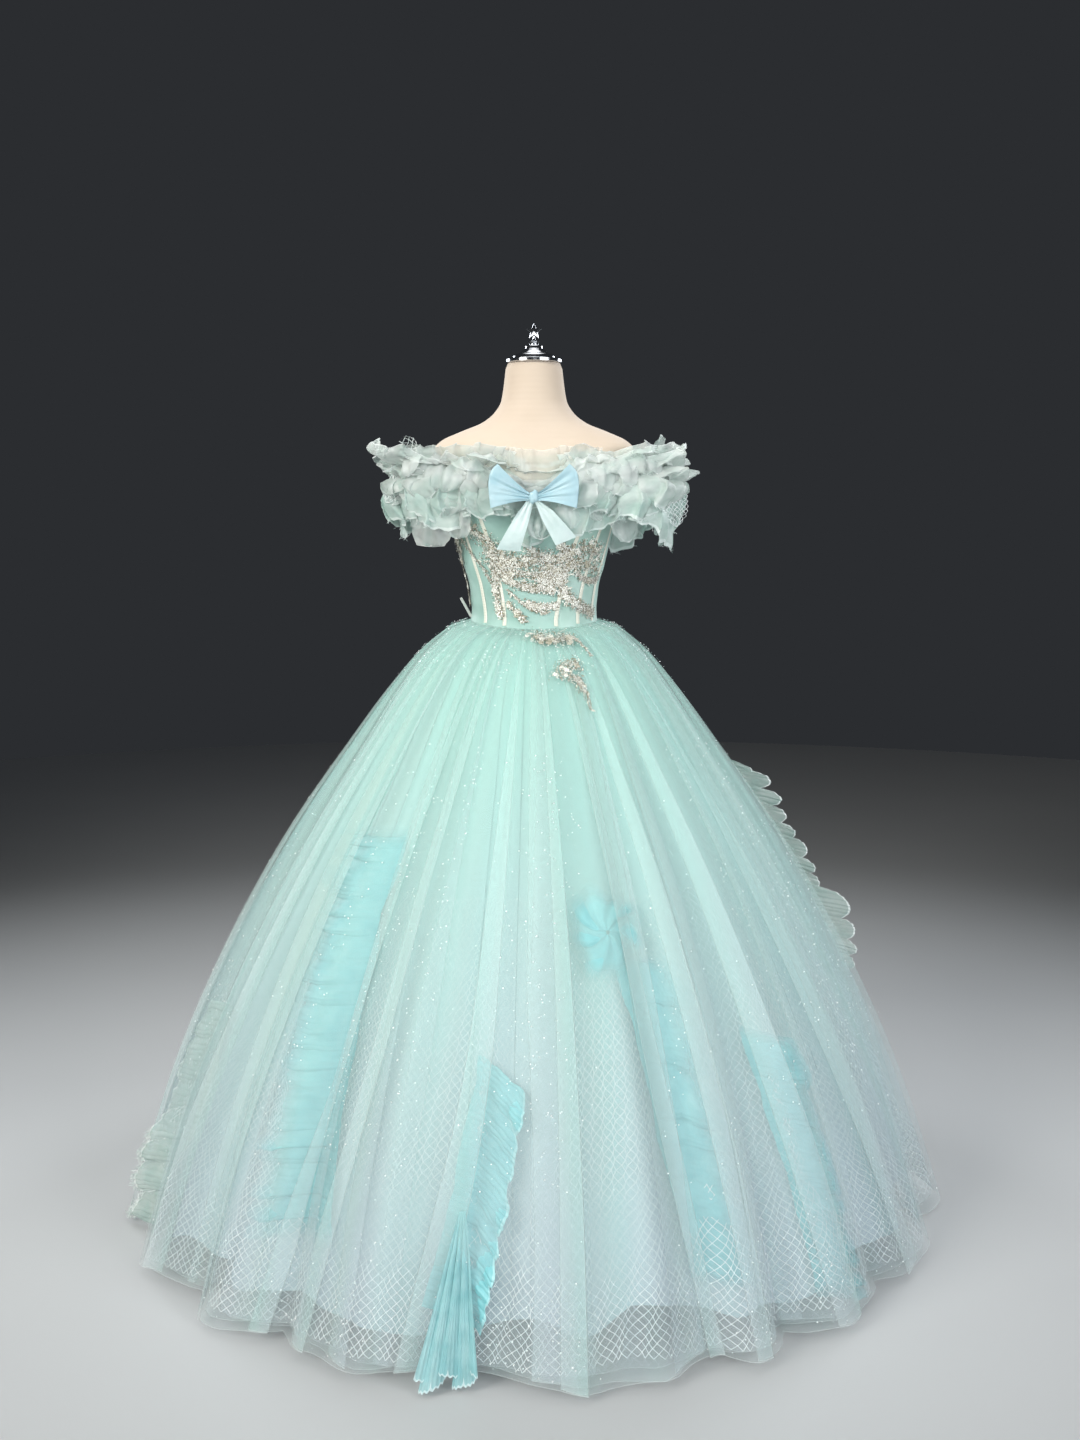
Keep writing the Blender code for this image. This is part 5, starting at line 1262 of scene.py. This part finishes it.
def add_glitter():
    """Add the flakes of glitter on the overlay, in drifts."""
    source = np.random.default_rng(5)
    angle, row = source.uniform(0.0, 360.0, GLITTER_SPOTS), source.uniform(0.3, 7.9, GLITTER_SPOTS)
    dense = (0.5 + 0.5 * wander_round(angle + 1.5 * row, 5.0, 71)) * (0.6 + 0.4 * wander(row, 0.7, 72))
    radius = np.interp(row, (0.0, FLOOR_ROW), (0.12, 0.77))
    keep = source.random(GLITTER_SPOTS) < dense ** 2.2 * radius / 0.9
    here, round_, up, out = surface_axes(lambda a, r: skirt_point(a, r, 0.0, ripple(a, r, OVERLAY_SEED)),
                                         angle[keep], row[keep])
    turn = source.uniform(0.0, np.pi, len(here))[:, None]
    tilt = source.normal(0.0, 0.35, (len(here), 2))
    right, rise = round_ * np.cos(turn) + up * np.sin(turn), -round_ * np.sin(turn) + up * np.cos(turn)
    flake = np.array([(-0.5, -0.5, 0.0), (0.5, -0.5, 0.0), (0.5, 0.5, 0.0), (-0.5, 0.5, 0.0)])
    sizes = source.uniform(0.0009, 0.0020, len(here))
    # The glitter flakes are reflective film drawn flat white: a painted glint on every flake.
    silver = make_threads("glitter_painted_white_glints", "#FFFFFF", "#E4F2F0", 0.2)
    glitter = add_copies("glitter", flake, [(0, 1, 2, 3)], here + out * TRIM_OUT, right + out * tilt[:, :1],
                         rise + out * tilt[:, 1:], out, sizes, silver)
    return dress(glitter, "overlay")


def add_skirt():
    """Add the glitter overlay, a second veil, two nets with their backing, and the lining."""
    yarn = make_threads("white_net_threads", "#FBFEFF", "#E6F0F3", 0.55)

    cloth = make_tulle("mint_glitter_tulle", "#C9ECE3", "#D8E8EA", "#B9E4DC", "#EAF8F5", 0.20, 0.6, 15.0)
    overlay, grid = add_skirt_cloth("overlay", 0.0, 27, OVERLAY_SEED, 5.6, 0.0030, 88, (0.003, 0.022, 0.0),
                                    cloth, FRONT_FOLDS)
    dress(overlay, "overlay", *(f"overlay_{gore}" for gore in range(1, 7)))
    glitter = add_glitter()
    outer = add_diamond_net("net_outer", outer_net_point, *OUTER_NET,
                            lambda places: net_width(places, 0.10, 0.20, 81), yarn, closed=True)
    dress(outer, "net")

    cloth = make_tulle("mint_soft_tulle", "#C5E9E0", "#D5E6EC", "#CCE3D4", "#E2F3EF", 0.20, 0.7, 11.0)
    veil, grid = add_skirt_cloth("second_veil", 0.30, 21, 23, 6.4, 0.0026, 60, (0.012, 0.020, 0.0), cloth)
    dress(veil, "overlay")

    cloth = make_tulle("white_net_backing", "#D3ECE7", "#DEE8F0", "#C6E6E2", "#EAF4F5", 0.16, 0.7, 9.0)
    backing, grid = add_skirt_cloth("net_backing", 1.0, 18, BACKING_SEED, 6.0, 0.0016, 48,
                                    (0.010, 0.010, 0.0), cloth)
    dress(backing, "net", "net_layer")
    threads = add_diamond_net("net_threads", inner_net_point, *INNER_NET,
                              lambda places: net_width(places, 0.14, 0.34, 91, 0.26), yarn, closed=True)
    dress(threads, "net")

    cloth = make_tulle("mint_to_lilac_lining", "#B0E4DA", "#D2DEEA", "#A6E0DA", "#C9E6E6", 1.0, 0.75, 8.0,
                       (0.98, 0.12))
    lining, grid = add_skirt_cloth("lining", 2.0, 20, 53, 7.0, 0.0016, 50, (0.026, 0.048, 0.035), cloth)
    dress(lining, "lining", *(f"lining_{gore}" for gore in range(1, 7)))


# ---- ruffle strips -------------------------------------------------------------------------

# Lobes of the strip at the right side: height of the middle, reach, height of the lobe.
SIDE_LOBES = (
    (0.808, 0.040, 0.018), (0.786, 0.066, 0.030), (0.752, 0.060, 0.030), (0.718, 0.052, 0.030),
    (0.686, 0.046, 0.030), (0.652, 0.054, 0.036), (0.616, 0.046, 0.030), (0.586, 0.042, 0.028),
    (0.540, 0.074, 0.058), (0.490, 0.066, 0.040), (0.454, 0.048, 0.032), (0.424, 0.034, 0.026),
)
SIDE_TOP, SIDE_END, SIDE_RIB = 0.815, 0.408, 105.0
SIDE_NARROW = 0.014                               # reach of the strip between its lobes
ROSETTE_ANGLE, ROSETTE_HEIGHT, ROSETTE_RADIUS = 14.0, 0.622, 0.066
FINE_PLEAT = 0.0085
FRAYED_COLUMNS, FRAYED_THREADS = 90, 420


def strip_grid(high, low, first, last, width, lobes, free, fall, bare, faint, seed):
    """Return a strip between overlay and net with its edge values: flat where it is stitched, with
    soft lobes and fine pleats that open toward its free edge. A lobe's crest is a light line, a painted
    highlight."""
    along, share = round_shares(28 * lobes + 1), down_shares(16)
    pleat = 2.0 * np.pi * int((high - low) / FINE_PLEAT) * along
    phase = (lobes * along + 0.75 * wander(along * lobes, 1.6, seed) - 0.20 * share
             + 0.22 * share * wander(along * lobes, 0.9, seed + 3))
    lobe = np.abs(np.sin(np.pi * phase)) ** 0.6 * (0.65 + 0.55 * wander(along * lobes, 1.1, seed + 2))
    wide = width * (1.0 + 0.16 * (lobe - 0.5) * share + 0.10 * wander(along * 9.0, 1.0, seed + 1))
    reach = wide * (share - 0.5)
    height = (high + (low - high) * along - fall * share ** 1.2 - 0.010 * share * (lobe - 0.5)
              + 0.0015 * share * np.cos(pleat))
    row = row_of_height(np.clip(height, 0.010, 1.0))
    line = first + (last - first) * along
    angle = line + np.degrees(free * reach / axis_distance(skirt_point(line, row, 0.5)))
    swing = ((0.001 + 0.014 * share) * (lobe - 0.4)
             + (0.0011 - 0.0007 * faint) * np.sin(pleat) * (0.3 + 0.7 * share))
    deep = 0.86 - 0.40 * share - bare * 0.62 * ramp(height, 0.21, 0.13)
    # Painted highlight: crest lifts the edge value along each lobe's crest, so it takes the light edge
    # colour.
    crest = swell((phase - 0.5) % 1.0, 0.5, 0.045) * ramp(share, 0.15, 0.6)
    edges = np.maximum(np.where(share > 0.97, 1.0, 0.75 + 0.15 * share), 0.97 * crest)
    ends = ramp(along, 0.0, 0.06) * ramp(1.0 - along, 0.0, 0.06)
    grid = skirt_point(angle, row, deep, swing)
    return (grid + crush(grid, 0.0040, 0.0020, seed) * (0.25 + 0.75 * share)[..., None],
            edges * (1.0 - faint * (1.0 - (1.0 - ramp(share, 0.45, 1.0)) * ends)))


def fan_grid():
    """Return the bare lower end of the front strip with its edge values: a fan of doubled folds with
    fine ribs and a pinked end at the hem."""
    across, share = round_shares(241), down_shares(22)
    fold = 2.0 * np.pi * 4.0 * across
    wide = 0.35 + 3.15 * share ** 0.9
    angle = -9.2 - 0.4 * share + wide * (2.0 * across - 1.0 + 0.26 * share * np.sin(fold))
    teeth = 0.0022 * (np.abs((across * 52.0) % 1.0 - 0.5) * 4.0 - 1.0) + 0.012 * np.cos(fold * 0.5 + 0.8)
    row = row_of_height(np.clip(0.240 - 0.223 * share + teeth * share ** 4, 0.002, 1.0))
    out = 0.003 + share * (0.010 + 0.010 * np.cos(fold) + 0.0009 * np.cos(2.0 * np.pi * across * 56.0))
    # Edge values near 1 along the outer and inner turns of each fold paint a highlight there; the last row is
    # the strip's own edge.
    edges = np.maximum(np.where(share > 0.97, 1.0, 0.3 + 0.6 * share), 0.965 * np.cos(fold) ** 12)
    return skirt_point(angle, row, -0.05, out), edges


def rosette_grid():
    """Return the turned-in head of the right front strip with its edge values: a flat rosette."""
    turn, share = round_shares(121, 0.0, 2.0 * np.pi), down_shares(14, 0.05)
    reach = ROSETTE_RADIUS * share * (1.0 + 0.12 * np.sin(3.0 * turn + 1.0) + 0.05 * np.sin(8.0 * turn))
    row = row_of_height(ROSETTE_HEIGHT + reach * np.sin(turn))
    radius = axis_distance(skirt_point(ROSETTE_ANGLE, row, 0.5))
    angle = ROSETTE_ANGLE + np.degrees(reach * np.cos(turn) / radius)
    swirl = 7.0 * turn + 4.5 * share
    # Painted highlight: crest lifts the edge value along the crests of the swirl.
    crest = swell(swirl / (2.0 * np.pi) % 1.0, 0.5, 0.07) * ramp(share, 0.2, 0.5)
    edges = np.maximum(0.9, 0.96 * crest) * (1.0 - ramp(share, 0.45, 1.0))
    return skirt_point(angle, row, 0.45, 0.007 * share * np.sin(swirl) + 0.006 * (1.0 - share)), edges


def side_strip_grid():
    """Return the strip that stands out from the overlay at the right side in round lobes."""
    level, share = round_shares(420, SIDE_TOP, SIDE_END), down_shares(14)
    reach, side = np.full_like(level, SIDE_NARROW), np.zeros_like(level)
    for number, (middle, out, tall) in enumerate(SIDE_LOBES):
        bulge = np.clip(1.0 - ((level - middle) / (0.56 * tall)) ** 2, 0.0, 1.0) ** 0.35
        reach = np.maximum(reach, SIDE_NARROW + (out - SIDE_NARROW) * bulge)
        side += (0.012 if number % 2 else -0.008) * swell(level, middle, 0.45 * tall)
    angle = 99.0 - 4.0 * (SIDE_TOP - level) / (SIDE_TOP - SIDE_END)
    turn = np.radians(angle)
    outward = as_points(np.sin(turn), -np.cos(turn), 0.0)
    along = as_points(np.cos(turn), np.sin(turn), 0.0)
    fine = np.sin(2.0 * np.pi * (level * SIDE_RIB + 0.4 * wander(level * 60.0, 1.0, 9)))
    aside = side * share + 0.0014 * fine * (0.3 + 0.7 * share) + 0.010 * share ** 2
    grid = (skirt_point(angle, row_of_height(level), 0.0, 0.004) + outward * (reach * share)[..., None]
            + along * aside[..., None])
    grid[..., 2] += -0.014 * share ** 1.3 + 0.0010 * share * np.cos(2.0 * np.pi * level * SIDE_RIB)
    return grid


def add_frayed_end(rim):
    """Add the loose threads at the lower end of a strip."""
    source = np.random.default_rng(12)
    size = (FRAYED_THREADS, 3)
    pick = source.integers(0, len(rim), FRAYED_THREADS)
    way = unit(source.normal(0.0, 0.7, size) + (-0.45, -0.35, -0.25))
    starts = rim[pick] + source.normal(0.0, 0.003, size)
    ends = rim[pick] + way * source.uniform(0.003, 0.013, (FRAYED_THREADS, 1))
    threads = add_strands("frayed_strip_end", starts, ends, source.normal(0.0, 1.0, size), 0.0008,
                          make_threads("frayed_organza_threads", "#F3F8F6", "#D5E4DF", 0.6))
    return dress(threads, "ruffle")


def add_strips():
    """Add the pleated organza strips under the overlay and the one that stands out at the right."""
    aqua = make_organza("aqua_organza_ruffle", "#90E2E7", "#7ED6DD", 0.74, "#B0E9EC", 0.84, 0.93, 3.0, 0.75)
    pale = make_organza("pale_aqua_organza_ruffle", "#AADFE2", "#94D0D4", 0.66, "#D6F0F1", 0.80, 0.96, 3.0)
    grey = make_organza("grey_green_organza_ruffle", "#C9DDD5", "#B5D2C9", 0.56, "#EEF6F3", 0.85, 0.93, 3.0)

    def add_strip(name, grid, edges, cloth, nodes=(), rests_on="net_backing", extras=()):
        strip = dress(add_cloth(name, grid, cloth, edges=edges), "ruffle", *nodes)

    for number, (name, *sizes) in enumerate(STRIPS):
        grid, edges = strip_grid(*sizes, 300 + 7 * number)
        first = name == "a"
        frayed = [add_frayed_end(grid[-1, -FRAYED_COLUMNS:])] if first else []
        add_strip(f"pleated_strip_{name}", grid, edges, grey if first else aqua, [f"ruffle_{name}"],
                  extras=frayed)
    add_strip("strip_fan", *fan_grid(), pale, rests_on="overlay")
    add_strip("strip_rosette", *rosette_grid(), aqua)
    add_strip("pleated_strip_f", side_strip_grid(), None, grey, ["ruffle_f"], "overlay")


def add_waist_loop():
    """Add the loop of clear hanging ribbon at the left of the waist."""
    ribbon = make_organza("clear_hanging_ribbon", "#D9DDD6", "#C9D2CB", 0.55, "#E6EAE6", 0.75, 0.9)
    steps = np.linspace(0.0, 1.0, 24)
    bend = np.radians(np.linspace(180.0, 0.0, 14))[1:-1]
    half, length = 0.0033, 0.040
    straight = length - half
    along = np.concatenate([steps * straight, straight + half * np.sin(bend), steps[::-1] * straight])
    aside = np.concatenate([np.full(24, -half), half * np.cos(bend), np.full(24, half)])
    root = torso_point(-84.0, 1.096, BODICE_OUT + PANEL + 0.0006)
    up, outward = unit(np.array([-0.55, 0.0, 1.0])), unit(np.array([-1.0, 0.0, -0.55]))
    grid = np.array([root + up * along[:, None] + (aside[:, None] - half) * (0.0, 1.0, 0.0) + outward * shift
                     for shift in np.linspace(-0.0022, 0.0022, 5)])
    return dress(add_cloth("hanging_ribbon_loop", grid, ribbon), "ribbon", "waist_loop")


# ---- stage, light and camera ---------------------------------------------------------------

FLOOR_RADIUS, FLOOR_SIDES, FLOOR_LEVEL = 6.0, 128, -0.0012
# Lights: name, place, height of the point they face on the axis, width, power, colour.
LIGHTS = (
    ("key", (-2.7, -2.7, 2.6), 0.8, 2.2, 29.0, "#FFFDF8"),
    ("fill", (2.6, -2.8, 2.1), 0.8, 2.2, 17.8, "#FAFCFF"),
    ("low_front", (0.2, -3.6, 0.8), 0.5, 2.0, 5.0, "#FBFDFF"),
    ("top", (0.0, 0.1, 3.7), 0.6, 2.4, 8.0, "#FFFFFF"),
    ("back_left", (-2.6, 2.5, 2.2), 0.8, 2.0, 14.0, "#F6FAFF"),
    ("back_right", (2.6, 2.5, 2.2), 0.8, 2.0, 14.0, "#F6FAFF"),
)


def add_stage():
    """Add the pale floor, the soft lights, the dim room and the camera."""
    material, tree, shader, place = start_finish("pale_studio_floor", Roughness=0.6)
    paint(tree, shader, speckle(tree, place, 700.0), "#C9CBCB", "#C1C3C4")
    mesh = bpy.data.meshes.new("floor")
    turns = np.linspace(0.0, 2.0 * np.pi, FLOOR_SIDES, endpoint=False)
    rim = [(FLOOR_RADIUS * math.cos(turn), FLOOR_RADIUS * math.sin(turn), FLOOR_LEVEL) for turn in turns]
    mesh.from_pydata(rim, [], [tuple(range(FLOOR_SIDES))])
    mesh.materials.append(material)
    link_object("floor", mesh)

    for name, (x, y, z), aim, size, power, colour in LIGHTS:
        lamp = bpy.data.lights.new(name, "AREA")
        lamp.shape, lamp.size, lamp.energy, lamp.color = "DISK", size, power, linear(colour)[:3]
        lamp.spread = math.radians(75.0)
        light = link_object(name, lamp)
        light.location = x, y, z
        light.rotation_euler = math.atan2(math.hypot(x, y), z - aim), 0.0, math.atan2(-y, -x) - math.pi / 2.0
        light.visible_camera = False

    world = bpy.data.worlds.new("dim_studio")
    world.use_nodes = True
    world.node_tree.nodes["Background"].inputs["Color"].default_value = linear("#2B2D30")
    world.node_tree.nodes["Background"].inputs["Strength"].default_value = 1.0
    scene = bpy.context.scene
    scene.world = world
    scene.view_settings.view_transform = "Standard"
    scene.cycles.transparent_max_bounces, scene.cycles.diffuse_bounces = 36, 3

    lens = bpy.data.cameras.new("camera")
    lens.sensor_width, lens.lens, lens.clip_start, lens.clip_end = 36.0, 36.8, 0.05, 60.0
    camera = link_object("camera", lens)
    camera.location = (0.011, -2.752, 1.259)
    camera.rotation_euler = (math.radians(90.0 - 7.43), 0.0, 0.0)
    scene.camera = camera


# ---- build ---------------------------------------------------------------------------------

add_form()
add_bodice(add_waist_loop())
add_laces()
add_collar()
add_bow()
add_skirt()
add_strips()
add_stage()
